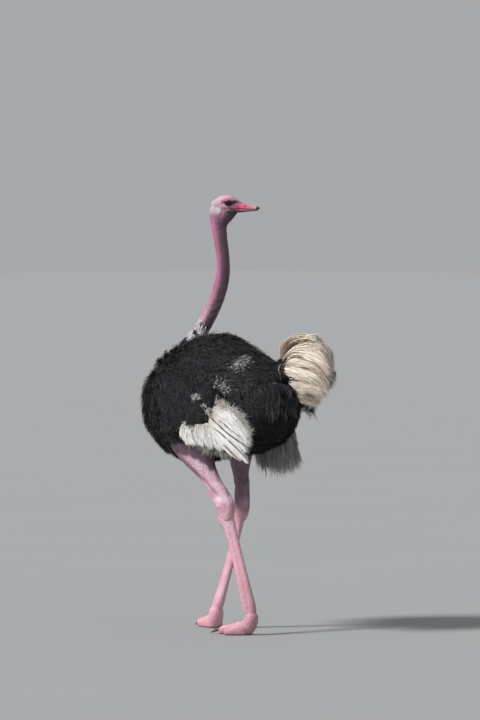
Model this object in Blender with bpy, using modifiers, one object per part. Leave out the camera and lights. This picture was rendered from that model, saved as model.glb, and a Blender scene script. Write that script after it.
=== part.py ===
"""A life-size male Masai ostrich, in mid stride, with its neck drawn back and its head turned over its right
shoulder. Metres, +Z up. The bird faces -Y, its left side is +X, and its soles stand on z = 0. Each fleshy
solid reaches out to the tips of the plumage or down that covers it."""

import math

import bmesh
import bpy
from mathutils import Matrix, Vector

# Driving dimensions. Places are given as the bird has them: forward, left and up from the middle of its stance.
GAP = 0.0004  # clearance that touching pieces keep
HEAD_TURN = math.radians(135)  # to the right of straight ahead
HEAD_PITCH = math.radians(-2)
BOX_CENTRE = (-0.0767, -0.0049)  # forward and left, of the whole bird's bounding box
EYE_CENTRE = (0.122, -0.112, 2.036)  # midpoint between the two eyes
EYE_RADIUS = 0.0215
EYE_SPREAD = 0.0215  # from the head's midplane to an eyeball's centre

BLACK = ("plumage_black", (0.020, 0.020, 0.024), 0.75)
WHITE = ("plumage_white", (0.80, 0.78, 0.74), 0.80)
CREAM = ("plumage_cream", (0.66, 0.58, 0.48), 0.80)
SKIN = ("skin_pink", (0.47, 0.24, 0.31), 0.60)
DOWN = ("down_pale", (0.62, 0.50, 0.52), 0.80)
BILL = ("horn_rose", (0.66, 0.25, 0.25), 0.45)
SCUTE = ("skin_shank", (0.62, 0.34, 0.38), 0.60)
CLAW = ("horn_dark", (0.10, 0.08, 0.07), 0.40)
EYE = ("eye_dark", (0.02, 0.012, 0.010), 0.05)


def at(forward, left, up):
    """A place given as the bird has it, moved so that the origin is under the middle of the whole bird."""
    return Vector((left - BOX_CENTRE[1], BOX_CENTRE[0] - forward, up))


def clear_scene():
    for obj in list(bpy.data.objects):
        bpy.data.objects.remove(obj)


def collection(name):
    made = bpy.data.collections.new(name)
    bpy.context.scene.collection.children.link(made)
    return made


def material(finish):
    name, colour, roughness = finish
    made = bpy.data.materials.get(name)
    if made is None:
        made = bpy.data.materials.new(name)
        made.use_nodes = True
        shader = made.node_tree.nodes["Principled BSDF"]
        shader.inputs["Base Color"].default_value = (*colour, 1)
        shader.inputs["Roughness"].default_value = roughness
        shader.inputs["Metallic"].default_value = 0.0
    return made


def helper(obj):
    """Marks a cutter or a joined piece: it shapes its neighbours, and isn't a part."""
    obj.hide_render = True
    obj.display_type = "WIRE"
    parts.objects.unlink(obj)
    helpers.objects.link(obj)
    return obj


def part(name, mesh, finish):
    obj = bpy.data.objects.new(name, mesh)
    mesh.materials.append(material(finish))
    parts.objects.link(obj)
    return obj


def blended(rows, t):
    """The row at t, from 0 at the first row to 1 at the last, on a Catmull-Rom spline through them all."""
    along = t * (len(rows) - 1)
    i = min(int(along), len(rows) - 2)
    u = along - i
    p0, p1, p2, p3 = (rows[max(0, min(k, len(rows) - 1))] for k in (i - 1, i, i + 1, i + 2))
    return [
        b + 0.5 * u * (c - a + u * (2 * a - 5 * b + 4 * c - d + u * (3 * (b - c) + d - a)))
        for a, b, c, d in zip(p0, p1, p2, p3)
    ]


def ring_of(verts, centre, side, over, sizes, sides, power):
    """Points round one section: sizes are its half-width, and its half-height over and under the centre."""
    half, above, below = sizes
    ring = []
    for k in range(sides):
        angle = 2 * math.pi * k / sides
        c, s = math.cos(angle), math.sin(angle)
        bend = 2 / (power[0] if s > 0 else power[1])
        x = half * math.copysign(abs(c) ** bend, c)
        y = (above if s > 0 else below) * math.copysign(abs(s) ** bend, s)
        ring.append(verts.new(centre + side * x + over * y))
    return ring


def loft(name, finish, rows, sides, rings, side_axis, domes=(0, 0), power=(2, 2), span=(0, 1), floor=None):
    """A closed body through rows of (forward, left, up, half-width, over, under). side_axis is the way its width
    runs, and over is the tangent crossed with it. An end with a dome is rounded off over that length, and the
    others are flat. power squares each section off (over, under), span keeps a stretch of the body, and nothing
    goes below floor."""
    data = bmesh.new()
    made = []
    sections = []
    for i in range(rings):
        t = span[0] + (span[1] - span[0]) * i / (rings - 1)
        row = blended(rows, t)
        step = 0.002
        ahead = at(*blended(rows, min(t + step, 1))[:3]) - at(*blended(rows, max(t - step, 0))[:3])
        tangent = ahead.normalized()
        side = (side_axis - side_axis.dot(tangent) * tangent).normalized()
        sections.append((at(*row[:3]), tangent, side, row[3:]))

    def dome(section, length, way):
        centre, tangent, side, sizes = section
        steps = 3
        found = []
        for k in range(1, steps):
            angle = math.pi / 2 * k / steps
            shrunk = [s * math.cos(angle) for s in sizes]
            middle = centre + tangent * (way * length * math.sin(angle))
            found.append(ring_of(data.verts, middle, side, tangent.cross(side), shrunk, sides, power))
        return found, data.verts.new(centre + tangent * (way * length))

    start_pole = end_pole = None
    if domes[0]:
        found, start_pole = dome(sections[0], domes[0], -1)
        made += reversed(found)
    for centre, tangent, side, sizes in sections:
        made.append(ring_of(data.verts, centre, side, tangent.cross(side), sizes, sides, power))
    if domes[1]:
        found, end_pole = dome(sections[-1], domes[1], 1)
        made += found
    for low, high in zip(made, made[1:]):
        for k in range(sides):
            n = (k + 1) % sides
            data.faces.new((low[k], low[n], high[n], high[k]))
    if start_pole:
        for k in range(sides):
            data.faces.new((made[0][(k + 1) % sides], made[0][k], start_pole))
    else:
        data.faces.new(list(reversed(made[0])))
    if end_pole:
        for k in range(sides):
            data.faces.new((made[-1][k], made[-1][(k + 1) % sides], end_pole))
    else:
        data.faces.new(made[-1])
    if floor is not None:
        for v in data.verts:
            v.co.z = max(v.co.z, floor)
    bmesh.ops.triangulate(data, faces=data.faces)
    mesh = bpy.data.meshes.new(name)
    data.to_mesh(mesh)
    data.free()
    mesh.shade_smooth()
    return part(name, mesh, finish)


def cut(obj, *others):
    """Trims obj back from each of the others, leaving GAP between them."""
    for other in others:
        name = "around_" + other.name
        cutter = bpy.data.objects.get(name)
        if cutter is None:
            cutter = other.copy()
            cutter.name = name
            parts.objects.link(cutter)
            helper(cutter)
            grown = cutter.modifiers.new("grown", "DISPLACE")
            grown.strength = GAP
            grown.mid_level = 0
        trim = obj.modifiers.new("clear_of_" + other.name, "BOOLEAN")
        trim.operation = "DIFFERENCE"
        trim.solver = "EXACT"
        trim.object = cutter


def merged(obj, lobes, voxel, kept):
    """Takes the lobes into obj and closes them all into one skin, then keeps that share of its triangles."""
    data = bmesh.new()
    data.from_mesh(obj.data)
    for lobe in lobes:
        data.from_mesh(lobe.data)
        bpy.data.objects.remove(lobe)
    data.to_mesh(obj.data)
    data.free()
    skin = obj.modifiers.new("one_skin", "REMESH")
    skin.mode = "VOXEL"
    skin.voxel_size = voxel
    skin.use_smooth_shade = True
    fewer = obj.modifiers.new("fewer_triangles", "DECIMATE")
    fewer.ratio = kept
    fewer.use_collapse_triangulate = True


def plume(name, finish, root, tip, lift, width, thickness, side_axis, rings=9):
    """One broad, leaf-shaped plume from root to tip, bowed towards lift."""
    rows = []
    for i in range(7):
        t = i / 6
        place = [a + (b - a) * t + c * math.sin(math.pi * t) for a, b, c in zip(root, tip, lift)]
        spread = 0.45 + 0.55 * math.sin(math.pi * (0.12 + 0.70 * t))
        thick = thickness * (1 - 0.45 * t)
        rows.append((*place, width / 2 * spread, thick / 2, thick / 2))
    return loft(name, finish, rows, 12, rings, side_axis, domes=(0.02, 0.03))


# ---------------------------------------------------------------- trunk, tail and wings

LEFTWARD = Vector((1, 0, 0))
UPWARD = Vector((0, 0, 1))

TRUNK = [  # from rump to breast
    (-0.360, 0, 1.120, 0.115, 0.100, 0.120),
    (-0.290, 0, 1.105, 0.185, 0.170, 0.185),
    (-0.185, 0, 1.090, 0.250, 0.238, 0.235),
    (-0.060, 0, 1.085, 0.288, 0.302, 0.255),
    (0.070, 0, 1.085, 0.300, 0.342, 0.274),
    (0.190, 0, 1.085, 0.296, 0.330, 0.290),
    (0.300, 0, 1.085, 0.264, 0.284, 0.282),
    (0.383, 0, 1.080, 0.208, 0.222, 0.226),
]


def build_trunk():
    return loft("trunk", BLACK, TRUNK, 24, 15, LEFTWARD, domes=(0.05, 0.095), power=(2.0, 2.15))


def build_tail(trunk):
    """A raised bush of broad plumes that arch up from the rump and curl over at their tips."""
    core = [
        (-0.30, 0, 1.215, 0.045, 0.045, 0.045),
        (-0.38, 0, 1.240, 0.068, 0.070, 0.075),
        (-0.47, 0, 1.268, 0.100, 0.110, 0.145),
        (-0.535, 0, 1.250, 0.105, 0.110, 0.155),
    ]
    tail = loft("tail", CREAM, core, 20, 8, LEFTWARD, domes=(0.03, 0.06))
    plumes = []
    for i, spread in enumerate((-1.0, -0.5, 0.0, 0.5, 1.0)):
        root = (-0.43, 0.05 * spread, 1.31 - 0.04 * spread**2)
        tip = (-0.615 + 0.045 * spread**2, 0.112 * spread, 1.235 - 0.04 * abs(spread))
        lift = (-0.012, 0.025 * spread, 0.128 - 0.03 * spread**2)
        plumes.append(plume(f"tail_upper_{i}", CREAM, root, tip, lift, 0.11, 0.055, LEFTWARD))
    for i, spread in enumerate((-0.9, 0.0, 0.9)):
        root = (-0.43, 0.06 * spread, 1.22)
        tip = (-0.540 + 0.03 * spread**2, 0.090 * spread, 1.075)
        plumes.append(plume(f"tail_lower_{i}", CREAM, root, tip, (-0.03, 0, 0.035), 0.12, 0.06, LEFTWARD))
    merged(tail, plumes, 0.011, 0.07)
    cut(tail, trunk)
    return tail


def build_wing(side, pad, first_root, last_root, first_tip, last_tip, others):
    """A folded wing: the pad of coverts, and the long white plumes that hang from its lower edge."""
    name = "wing_left" if side > 0 else "wing_right"
    pad = [(f, side * l, z, w, 0.040, 0.050) for f, l, z, w in pad]
    wing = loft(name, WHITE, pad, 20, 12, UPWARD, domes=(0.05, 0.05))
    plumes = []
    count = 6
    for i in range(count):
        t = i / (count - 1)
        root = [a + (b - a) * t for a, b in zip(first_root, last_root)]
        tip = [a + (b - a) * t for a, b in zip(first_tip, last_tip)]
        tip[0] -= 0.02 * (i % 2)
        for end in (root, tip):
            end[1] *= side
        lift = (0, side * 0.018, 0.010)
        across = LEFTWARD.cross(at(*tip) - at(*root))
        plumes.append(plume(f"{name}_plume_{i}", WHITE, root, tip, lift, 0.105, 0.050, across))
    merged(wing, plumes, 0.010, 0.062)
    cut(wing, *others)
    return wing


# ---------------------------------------------------------------- neck and head

NECK = [  # from inside the breast up into the back of the skull: half-width, nape, throat
    (0.345, 0.008, 1.200, 0.095, 0.095, 0.095),
    (0.300, -0.012, 1.310, 0.066, 0.068, 0.070),
    (0.240, -0.033, 1.415, 0.039, 0.042, 0.042),
    (0.190, -0.057, 1.507, 0.0335, 0.0365, 0.0355),
    (0.156, -0.077, 1.597, 0.0325, 0.0355, 0.0345),
    (0.137, -0.089, 1.690, 0.0315, 0.0345, 0.0335),
    (0.136, -0.088, 1.780, 0.0315, 0.0330, 0.0325),
    (0.144, -0.082, 1.860, 0.0320, 0.0345, 0.0330),
    (0.151, -0.078, 1.925, 0.0330, 0.0390, 0.0395),
    (0.152, -0.079, 1.970, 0.0325, 0.0450, 0.0710),
    (0.150, -0.081, 2.010, 0.0305, 0.0455, 0.0940),
]
NECK_CUTS = (0.28, 0.60)  # where the neck is parted, as shares of its rows


BILLWARD = Vector((math.sin(math.pi + HEAD_TURN), -math.cos(HEAD_TURN), 0))


def head_frame():
    """Turns head coordinates (forward along the bill, left, up, from between the eyes) into the bird's."""
    forward = BILLWARD
    left = UPWARD.cross(forward)
    turn = Matrix((forward, left, UPWARD)).transposed()
    return Matrix.Translation(at(*EYE_CENTRE)) @ turn.to_4x4() @ Matrix.Rotation(-HEAD_PITCH, 4, "Y")


def head_loft(name, finish, rows, sides, rings, domes, power=(2, 2)):
    """A body whose rows are (along the bill, height of its centre, half-width, over, under)."""
    placed = [(x, 0, z, half, over, under) for x, z, half, over, under in rows]
    obj = loft(name, finish, placed, sides, rings, LEFTWARD, domes, power)
    # loft() runs this body forward, along -Y, from its own origin; a quarter turn points it along the bill.
    obj.data.transform(head_frame() @ Matrix.Rotation(math.pi / 2, 4, "Z") @ Matrix.Translation(-at(0, 0, 0)))
    return obj


def ball(name, finish, centre, radii, rings=9, segments=14):
    data = bmesh.new()
    bmesh.ops.create_uvsphere(data, u_segments=segments, v_segments=rings, radius=1)
    mesh = bpy.data.meshes.new(name)
    data.to_mesh(mesh)
    data.free()
    mesh.transform(head_frame() @ Matrix.Translation(centre) @ Matrix.Diagonal((*radii, 1)))
    mesh.shade_smooth()
    return part(name, mesh, finish)


def build_neck(trunk, head):
    low, high = NECK_CUTS
    thin = 0.0003  # half a gap, as a share of the neck's rows
    across = UPWARD.cross(BILLWARD)
    base = loft("neck_base", DOWN, NECK, 14, 7, across, span=(0, low - thin))
    lower = loft("neck_lower", SKIN, NECK, 14, 8, across, span=(low + thin, high - thin))
    upper = loft("neck_upper", SKIN, NECK, 14, 9, across, span=(high + thin, 1))
    cut(base, trunk)
    cut(upper, head)
    return base, lower, upper


def build_head():
    skull = [
        (-0.054, -0.012, 0.0300, 0.032, 0.036),
        (-0.036, -0.008, 0.0360, 0.040, 0.044),
        (-0.012, -0.005, 0.0390, 0.044, 0.048),
        (0.010, -0.007, 0.0385, 0.043, 0.044),
        (0.032, -0.012, 0.0335, 0.035, 0.034),
        (0.056, -0.016, 0.0275, 0.026, 0.024),
    ]
    head = head_loft("head", DOWN, skull, 16, 10, domes=(0.028, 0.012), power=(2.1, 2.1))
    eyes = [
        ball(f"eye_{word}", EYE, (0, way * EYE_SPREAD, 0), (EYE_RADIUS,) * 3)
        for word, way in (("left", 1), ("right", -1))
    ]
    cut(head, *eyes)
    return head, eyes


def build_bill(head, neck_upper):
    upper_rows = [
        (0.046, -0.0165, 0.0270, 0.0245, 0.0085),
        (0.070, -0.0185, 0.0255, 0.0220, 0.0070),
        (0.092, -0.0205, 0.0225, 0.0180, 0.0055),
        (0.114, -0.0215, 0.0185, 0.0140, 0.0045),
        (0.136, -0.0215, 0.0140, 0.0095, 0.0035),
    ]
    lower_rows = [
        (0.040, -0.0330, 0.0255, 0.0095, 0.0110),
        (0.066, -0.0325, 0.0240, 0.0085, 0.0090),
        (0.092, -0.0310, 0.0205, 0.0075, 0.0065),
        (0.112, -0.0300, 0.0165, 0.0065, 0.0048),
        (0.132, -0.0285, 0.0115, 0.0050, 0.0034),
    ]
    upper = head_loft("bill_upper", BILL, upper_rows, 10, 6, domes=(0.010, 0.014), power=(2.3, 4))
    lower = head_loft("bill_lower", BILL, lower_rows, 10, 6, domes=(0.010, 0.012), power=(4, 2.3))
    cut(upper, head)
    cut(lower, head, upper, neck_upper)


def build_ears(head, neck_upper):
    for word, way in (("left", 1), ("right", -1)):
        ear = ball(f"ear_{word}", WHITE, (-0.047, way * 0.0285, -0.034), (0.0120, 0.0090, 0.0165), 7, 10)
        cut(ear, head, neck_upper)


# ---------------------------------------------------------------- legs

def build_leg(word, knee, hock, knuckle, toe_way, bow, trunk):
    """Drumstick, shank, knuckle, two toes and the nail of the larger one. knee, hock and knuckle are centres of
    joints, toe_way is how far the leg turns out from straight ahead, and bow is how far the shank curves
    forward."""
    way = 1 if word == "left" else -1
    turn = Matrix.Rotation(-way * toe_way, 3, "Z")
    across = turn.inverted() @ LEFTWARD
    drum = [  # share of the way from knee to hock, bulge forward, half-width, front, back
        (0.00, 0.000, 0.075, 0.100, 0.095),
        (0.20, 0.006, 0.075, 0.094, 0.092),
        (0.38, 0.002, 0.062, 0.074, 0.082),
        (0.55, 0.000, 0.044, 0.048, 0.053),
        (0.70, -0.003, 0.035, 0.040, 0.045),
        (0.84, -0.005, 0.033, 0.041, 0.052),
        (0.95, -0.002, 0.036, 0.043, 0.053),
        (1.03, 0.003, 0.036, 0.043, 0.042),
        (1.09, 0.009, 0.031, 0.037, 0.026),
    ]
    shank = [  # share of the way from hock to knuckle, and the same
        (-0.03, 0.010, 0.0200, 0.022, 0.020),
        (0.03, 0.010, 0.0310, 0.036, 0.036),
        (0.09, 0.010, 0.0300, 0.040, 0.040),
        (0.16, 0.004, 0.0240, 0.034, 0.034),
        (0.30, 0.000, 0.0190, 0.028, 0.029),
        (0.55, 0.000, 0.0190, 0.030, 0.030),
        (0.78, 0.000, 0.0210, 0.032, 0.032),
        (0.90, 0.000, 0.0260, 0.033, 0.033),
        (0.97, 0.000, 0.0260, 0.028, 0.028),
    ]

    def rows(table, start, end, bow=0.0):
        placed = []
        for t, bulge, *sizes in table:
            f, l, z = (a + (b - a) * t for a, b in zip(start, end))
            placed.append((f + bulge + bow * math.sin(math.pi * t), l, z, *sizes))
        return placed

    thigh = loft(f"thigh_{word}", SKIN, rows(drum, knee, hock), 12, 10, across, domes=(0.05, 0.018))
    cut(thigh, trunk)

    def step(forward, left, up):
        """A place on the foot, from the knuckle: forward along its toes, outwards, and up from the floor."""
        moved = turn.inverted() @ Vector((way * left, -forward, 0))
        return (knuckle[0] - moved.y, knuckle[1] + moved.x, up)

    knuckle_rows = [
        (*step(0.000, 0, knuckle[2]), 0.0340, 0.033, 0.032),
        (*step(0.004, 0, knuckle[2] - 0.022), 0.0375, 0.037, 0.034),
        (*step(0.014, 0, knuckle[2] - 0.046), 0.0360, 0.036, 0.034),
        (*step(0.026, 0, 0.024), 0.0300, 0.032, 0.032),
    ]
    foot = loft(f"foot_{word}", SCUTE, knuckle_rows, 12, 6, across, domes=(0.024, 0.030), floor=0.0)
    shank_body = loft(f"shank_{word}", SCUTE, rows(shank, hock, knuckle, bow), 12, 10, across)
    cut(shank_body, thigh, foot)
    large = [
        (*step(0.026, -0.004, 0.044), 0.0230, 0.024, 0.030),
        (*step(0.046, -0.005, 0.040), 0.0280, 0.029, 0.048),
        (*step(0.066, -0.006, 0.034), 0.0285, 0.028, 0.046),
        (*step(0.100, -0.007, 0.026), 0.0300, 0.026, 0.038),
        (*step(0.134, -0.008, 0.023), 0.0280, 0.022, 0.033),
        (*step(0.158, -0.008, 0.020), 0.0230, 0.018, 0.026),
    ]
    small = [
        (*step(0.018, 0.014, 0.036), 0.0150, 0.018, 0.022),
        (*step(0.034, 0.026, 0.032), 0.0185, 0.021, 0.038),
        (*step(0.050, 0.036, 0.027), 0.0185, 0.020, 0.038),
        (*step(0.080, 0.050, 0.020), 0.0180, 0.017, 0.029),
        (*step(0.104, 0.060, 0.017), 0.0150, 0.014, 0.023),
    ]
    toe_large = loft(f"toe_large_{word}", SCUTE, large, 12, 8, across, domes=(0.012, 0.018), floor=0.0)
    toe_small = loft(f"toe_small_{word}", SCUTE, small, 10, 6, across, domes=(0.010, 0.014), floor=0.0)
    cut(toe_large, foot)
    cut(toe_small, foot, toe_large)
    nail_rows = [
        (*step(0.150, -0.008, 0.026), 0.0150, 0.0110, 0.0090),
        (*step(0.174, -0.008, 0.022), 0.0130, 0.0095, 0.0080),
        (*step(0.196, -0.008, 0.015), 0.0090, 0.0065, 0.0060),
        (*step(0.212, -0.008, 0.008), 0.0045, 0.0035, 0.0035),
    ]
    nail = loft(f"claw_{word}", CLAW, nail_rows, 8, 5, across, domes=(0.004, 0.005), floor=0.0)
    cut(nail, toe_large)
    return thigh, shank_body


clear_scene()
parts = collection("ostrich")
helpers = collection("helpers")

trunk = build_trunk()
build_tail(trunk)
head, eyes = build_head()
neck_base, neck_lower, neck_upper = build_neck(trunk, head)
build_bill(head, neck_upper)
build_ears(head, neck_upper)
TOE_OUT = math.radians(20)
thigh_left, _ = build_leg(
    "left", (0.153, 0.165, 0.985), (-0.103, 0.128, 0.584), (-0.238, 0.092, 0.088), TOE_OUT, 0.0, trunk
)
thigh_right, _ = build_leg(
    "right", (0.105, -0.165, 1.030), (0.050, -0.128, 0.575), (0.184, -0.092, 0.088), TOE_OUT, -0.010, trunk
)
build_wing(
    1,
    (
        (0.215, 0.262, 1.175, 0.075), (0.130, 0.290, 1.120, 0.130),
        (-0.020, 0.300, 1.090, 0.130), (-0.150, 0.285, 1.120, 0.085),
    ),
    (0.060, 0.296, 0.985),
    (-0.170, 0.285, 1.085),
    (-0.330, 0.275, 0.835),
    (-0.395, 0.245, 0.930),
    (trunk, thigh_left),
)
build_wing(
    -1,
    (
        (0.215, 0.262, 1.175, 0.075), (0.140, 0.290, 1.110, 0.130),
        (0.010, 0.300, 1.060, 0.140), (-0.110, 0.290, 1.070, 0.110),
    ),
    (0.110, 0.296, 0.960),
    (-0.090, 0.285, 0.990),
    (0.075, 0.275, 0.785),
    (-0.225, 0.258, 0.785),
    (trunk, thigh_right),
)
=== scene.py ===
"""A life-size male Masai ostrich in mid stride, its neck drawn back and its head turned over its right
shoulder. One skin carries head, neck, trunk and legs. The plumage is feathers of ribbons, one for each barb."""

import math

import bmesh
import bpy
import numpy as np
from mathutils import Matrix, Vector


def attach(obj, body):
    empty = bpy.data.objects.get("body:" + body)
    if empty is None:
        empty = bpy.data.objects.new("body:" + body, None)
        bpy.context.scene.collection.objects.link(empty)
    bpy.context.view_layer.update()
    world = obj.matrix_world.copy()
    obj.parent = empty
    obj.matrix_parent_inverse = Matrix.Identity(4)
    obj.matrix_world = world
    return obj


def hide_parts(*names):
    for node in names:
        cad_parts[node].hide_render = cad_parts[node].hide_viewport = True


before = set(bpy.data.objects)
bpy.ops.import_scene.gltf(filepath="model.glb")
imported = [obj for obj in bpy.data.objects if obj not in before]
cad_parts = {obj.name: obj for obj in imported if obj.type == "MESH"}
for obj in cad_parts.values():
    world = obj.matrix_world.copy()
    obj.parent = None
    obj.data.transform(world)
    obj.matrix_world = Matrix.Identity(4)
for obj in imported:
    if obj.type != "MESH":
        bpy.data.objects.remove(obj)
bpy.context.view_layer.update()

# Sizes in metres. Places are given as the bird has them: forward, left and up from the middle of its stance.
BOX_CENTRE = (-0.0767, -0.0049)  # forward and left, of the whole bird's bounding box
EYE_CENTRE = (0.122, -0.112, 2.036)  # midpoint between the two eyes
EYE_RADIUS = 0.0215
EYE_SPREAD = 0.0215  # from the head's midplane to an eyeball's centre
HEAD_TURN = math.radians(135)
HEAD_PITCH = math.radians(-2)
TOE_OUT = math.radians(20)
COAT_DEPTH = 0.048  # of the body plumage, from the skin to the feather tips
DOWN_DEPTH = 0.0016  # of the sparse down on the head and neck
HIDE = 0.0012  # scutes and bristles stand this far off the bare skin of the legs

BACK = np.array((0.0, 1.0, 0.0))
FALL = np.array((0.0, 0.0, -1.0))
LEFTWARD = np.array((1.0, 0.0, 0.0))
UPWARD = np.array((0.0, 0.0, 1.0))
BILLWARD = np.array((math.sin(math.pi + HEAD_TURN), -math.cos(HEAD_TURN), 0.0))


# ------------------------ shapes

def at(forward, left, up):
    return np.array((left - BOX_CENTRE[1], BOX_CENTRE[0] - forward, up))


def unit(v):
    return v / np.maximum(np.linalg.norm(v, axis=-1, keepdims=True), 1e-12)


def head_frame():
    """Turns head coordinates (along the bill, left, up, from between the eyes) into the bird's."""
    turn = Matrix((BILLWARD, np.cross(UPWARD, BILLWARD), UPWARD)).transposed().to_4x4()
    return Matrix.Translation(at(*EYE_CENTRE)) @ turn @ Matrix.Rotation(-HEAD_PITCH, 4, "Y")


HEAD = np.array(head_frame())
HEAD_BACK = np.linalg.inv(HEAD)
HEAD_LEFT = HEAD[:3, 1]


def moved(matrix, points):
    return points @ matrix[:3, :3].T + matrix[:3, 3]


def path_of(places):
    """One path through the places of rows that start with forward, left and up."""
    return np.array([at(*place[:3]) for place in places])[None]


def on_bird(rows):
    return [(*at(f, l, z), *sizes) for f, l, z, *sizes in rows]


def on_head(rows):
    return [(*moved(HEAD, np.array((x, 0, z))), *sizes) for x, z, *sizes in rows]


def ring_faces(rings, sides):
    """The four-sided faces between rings of points, each ring closed."""
    steps = [(k, (k + 1) % sides) for k in range(sides)]
    starts = range(0, (rings - 1) * sides, sides)
    return [(i + k, i + n, i + sides + n, i + sides + k) for i in starts for k, n in steps]


def spline(rows, t):
    """The rows' values at each t, from 0 to 1, on a Catmull-Rom spline through them all."""
    rows = np.asarray(rows, float)
    along = np.clip(t, 0, 1) * (len(rows) - 1)
    i = np.minimum(along.astype(int), len(rows) - 2)
    u = (along - i)[..., None]
    a, b, c, d = (rows[np.clip(i + k, 0, len(rows) - 1)] for k in (-1, 0, 1, 2))
    return b + 0.5 * u * (c - a + u * (2 * a - 5 * b + 4 * c - d + u * (3 * (b - c) + d - a)))


def ease(low, high, x):
    """0 below low, 1 above high, and smooth between."""
    t = np.clip((x - low) / (high - low), 0, 1)
    return t * t * (3 - 2 * t)


def bump(x, width):
    return np.exp(-((x / width) ** 2))


def wander(points, size, seed):
    """A smooth random value from about -1 to 1 at each point, that changes over about size."""
    dice, waves = np.random.default_rng(seed), 9
    ways = unit(dice.normal(size=(waves, 3))) * dice.uniform(0.6, 1.5, (waves, 1)) * math.pi / size
    return np.sin(points @ ways.T + dice.uniform(0, math.tau, waves)).sum(-1) / math.sqrt(waves) * 0.9


class Body:
    """A rounded body through rows of (x, y, z, half-width, over, under). side is the way its width runs, and
    over is its own direction crossed with that. Below t = 0 and above t = 1 are its domed ends."""

    def __init__(self, rows, side, domes=(0.01, 0.01), power=(2.0, 2.0), inset=0.0, floor=None):
        self.rows = np.array(rows, float)
        self.rows[:, 3:] -= inset
        self.side, self.power, self.floor = side, power, floor
        self.domes = [max(d - float(np.min(inset)), 0.002) for d in domes]

    def section(self, t, step):
        """The row at each t, from 0 to 1, and the directions there: onwards, to the side, and over."""
        onwards = spline(self.rows, np.minimum(t + step, 1)) - spline(self.rows, np.maximum(t - step, 0))
        tangent = unit(onwards[..., :3])
        side = unit(self.side - (tangent @ self.side)[..., None] * tangent)
        return spline(self.rows, t), tangent, side, np.cross(tangent, side)

    def place(self, t, a):
        """Points of the surface, at the angles a round it, from its side towards over."""
        t, a = np.broadcast_arrays(np.asarray(t, float), np.asarray(a, float))
        row, tangent, side, over = self.section(np.clip(t, 0, 1), 0.002)
        past, before = np.clip(t - 1, 0, 1) * math.pi / 2, np.clip(-t, 0, 1) * math.pi / 2
        shift = np.sin(past) * self.domes[1] - np.sin(before) * self.domes[0]
        sizes = row[..., 3:] * np.cos(past + before)[..., None]
        c, s = np.cos(a), np.sin(a)
        bend = 2 / np.where(s > 0, self.power[0], self.power[1])
        x = sizes[..., 0] * np.sign(c) * np.abs(c) ** bend
        y = np.where(s > 0, sizes[..., 1], sizes[..., 2]) * np.sign(s) * np.abs(s) ** bend
        point = row[..., :3] + tangent * shift[..., None] + side * x[..., None] + over * y[..., None]
        if self.floor is not None:
            point[..., 2] = np.maximum(point[..., 2], self.floor)
        return point

    def outward(self, t, a):
        e = 1e-3
        along = self.place(t + e, a) - self.place(t - e, a)
        around = self.place(t, a + e) - self.place(t, a - e)
        return unit(np.cross(around, along))

    def mesh(self, rings, sides, caps=4):
        """(points, faces) of the whole body, closed at both ends by a point."""
        ends = np.arange(1, caps) / caps
        t = np.concatenate([-ends[::-1], np.linspace(0, 1, rings), 1 + ends])
        a = np.linspace(0, math.tau, sides, endpoint=False)
        grid = self.place(t[:, None], a[None, :]).reshape(-1, 3)
        poles = self.place(np.array((-1.0, 2.0)), np.zeros(2))
        faces = ring_faces(len(t), sides)
        low, high, last = len(grid), len(grid) + 1, (len(t) - 1) * sides
        for k in range(sides):
            n = (k + 1) % sides
            faces += [(n, k, low), (last + k, last + n, high)]
        return np.concatenate([grid, poles]), faces


def mesh_of(name, points, faces):
    mesh = bpy.data.meshes.new(name)
    mesh.from_pydata(np.asarray(points).tolist(), [], [tuple(f) for f in faces])
    mesh.update()
    mesh.shade_smooth()
    return mesh


def put(name, mesh):
    """A new object in the scene, of a mesh, a light or a camera."""
    obj = bpy.data.objects.new(name, mesh)
    bpy.context.scene.collection.objects.link(obj)
    return obj


def settled(obj):
    """The object's mesh with its modifiers made real. The object itself goes."""
    graph = bpy.context.evaluated_depsgraph_get()
    mesh = bpy.data.meshes.new_from_object(obj.evaluated_get(graph))
    bpy.data.objects.remove(obj)
    return mesh


def fused(name, made, voxel, smooth=3, kept=1.0, weight=None):
    """One closed skin round several (points, faces), with a kept share of its triangles, fewest by weight."""
    points, faces = [], []
    for p, f in made:
        faces += [tuple(v + len(points) for v in face) for face in f]
        points += list(p)
    obj = put(name, mesh_of(name, points, faces))
    skin = obj.modifiers.new("one skin", "REMESH")
    skin.mode, skin.voxel_size = "VOXEL", voxel
    relax = obj.modifiers.new("relaxed", "SMOOTH")
    relax.factor, relax.iterations = 0.5, smooth
    mesh = settled(obj)
    if kept < 1:
        obj = put(name, mesh)
        fewer = obj.modifiers.new("fewer", "DECIMATE")
        fewer.ratio = kept
        if weight is not None:
            group = obj.vertex_groups.new(name="plain")
            for index, value in enumerate(weight(points_of(mesh))):
                group.add([index], float(value), "REPLACE")
            fewer.vertex_group = "plain"
            fewer.vertex_group_factor = 1.0
        mesh = settled(obj)
    return mesh


def points_of(mesh, value="co"):
    """The place, or else another value, of each of the mesh's points."""
    found = np.empty(len(mesh.vertices) * 3, np.float32)
    mesh.vertices.foreach_get(value, found)
    return found.reshape(-1, 3).astype(float)


def normals_of(mesh):
    return points_of(mesh, "normal")


def set_points(mesh, points):
    mesh.vertices.foreach_set("co", points.astype(np.float32).ravel())
    mesh.update()


def paint(mesh, **masks):
    """Stores one number at each point under each name, for the materials to read."""
    for name, values in masks.items():
        layer = mesh.attributes.new(name, "FLOAT", "POINT")
        layer.data.foreach_set("value", np.clip(values, 0, 1).astype(np.float32))


def piece(obj, slot, material, *nodes):
    """Gives a finished object its material, and says which body and CAD nodes it goes with. Its slot is not
    used.
    """
    obj.data.materials.clear()
    obj.data.materials.append(material)
    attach(obj, "root")
    if nodes:
        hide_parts(*nodes)
    return obj


# ------------------------ the bird's own measures

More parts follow.
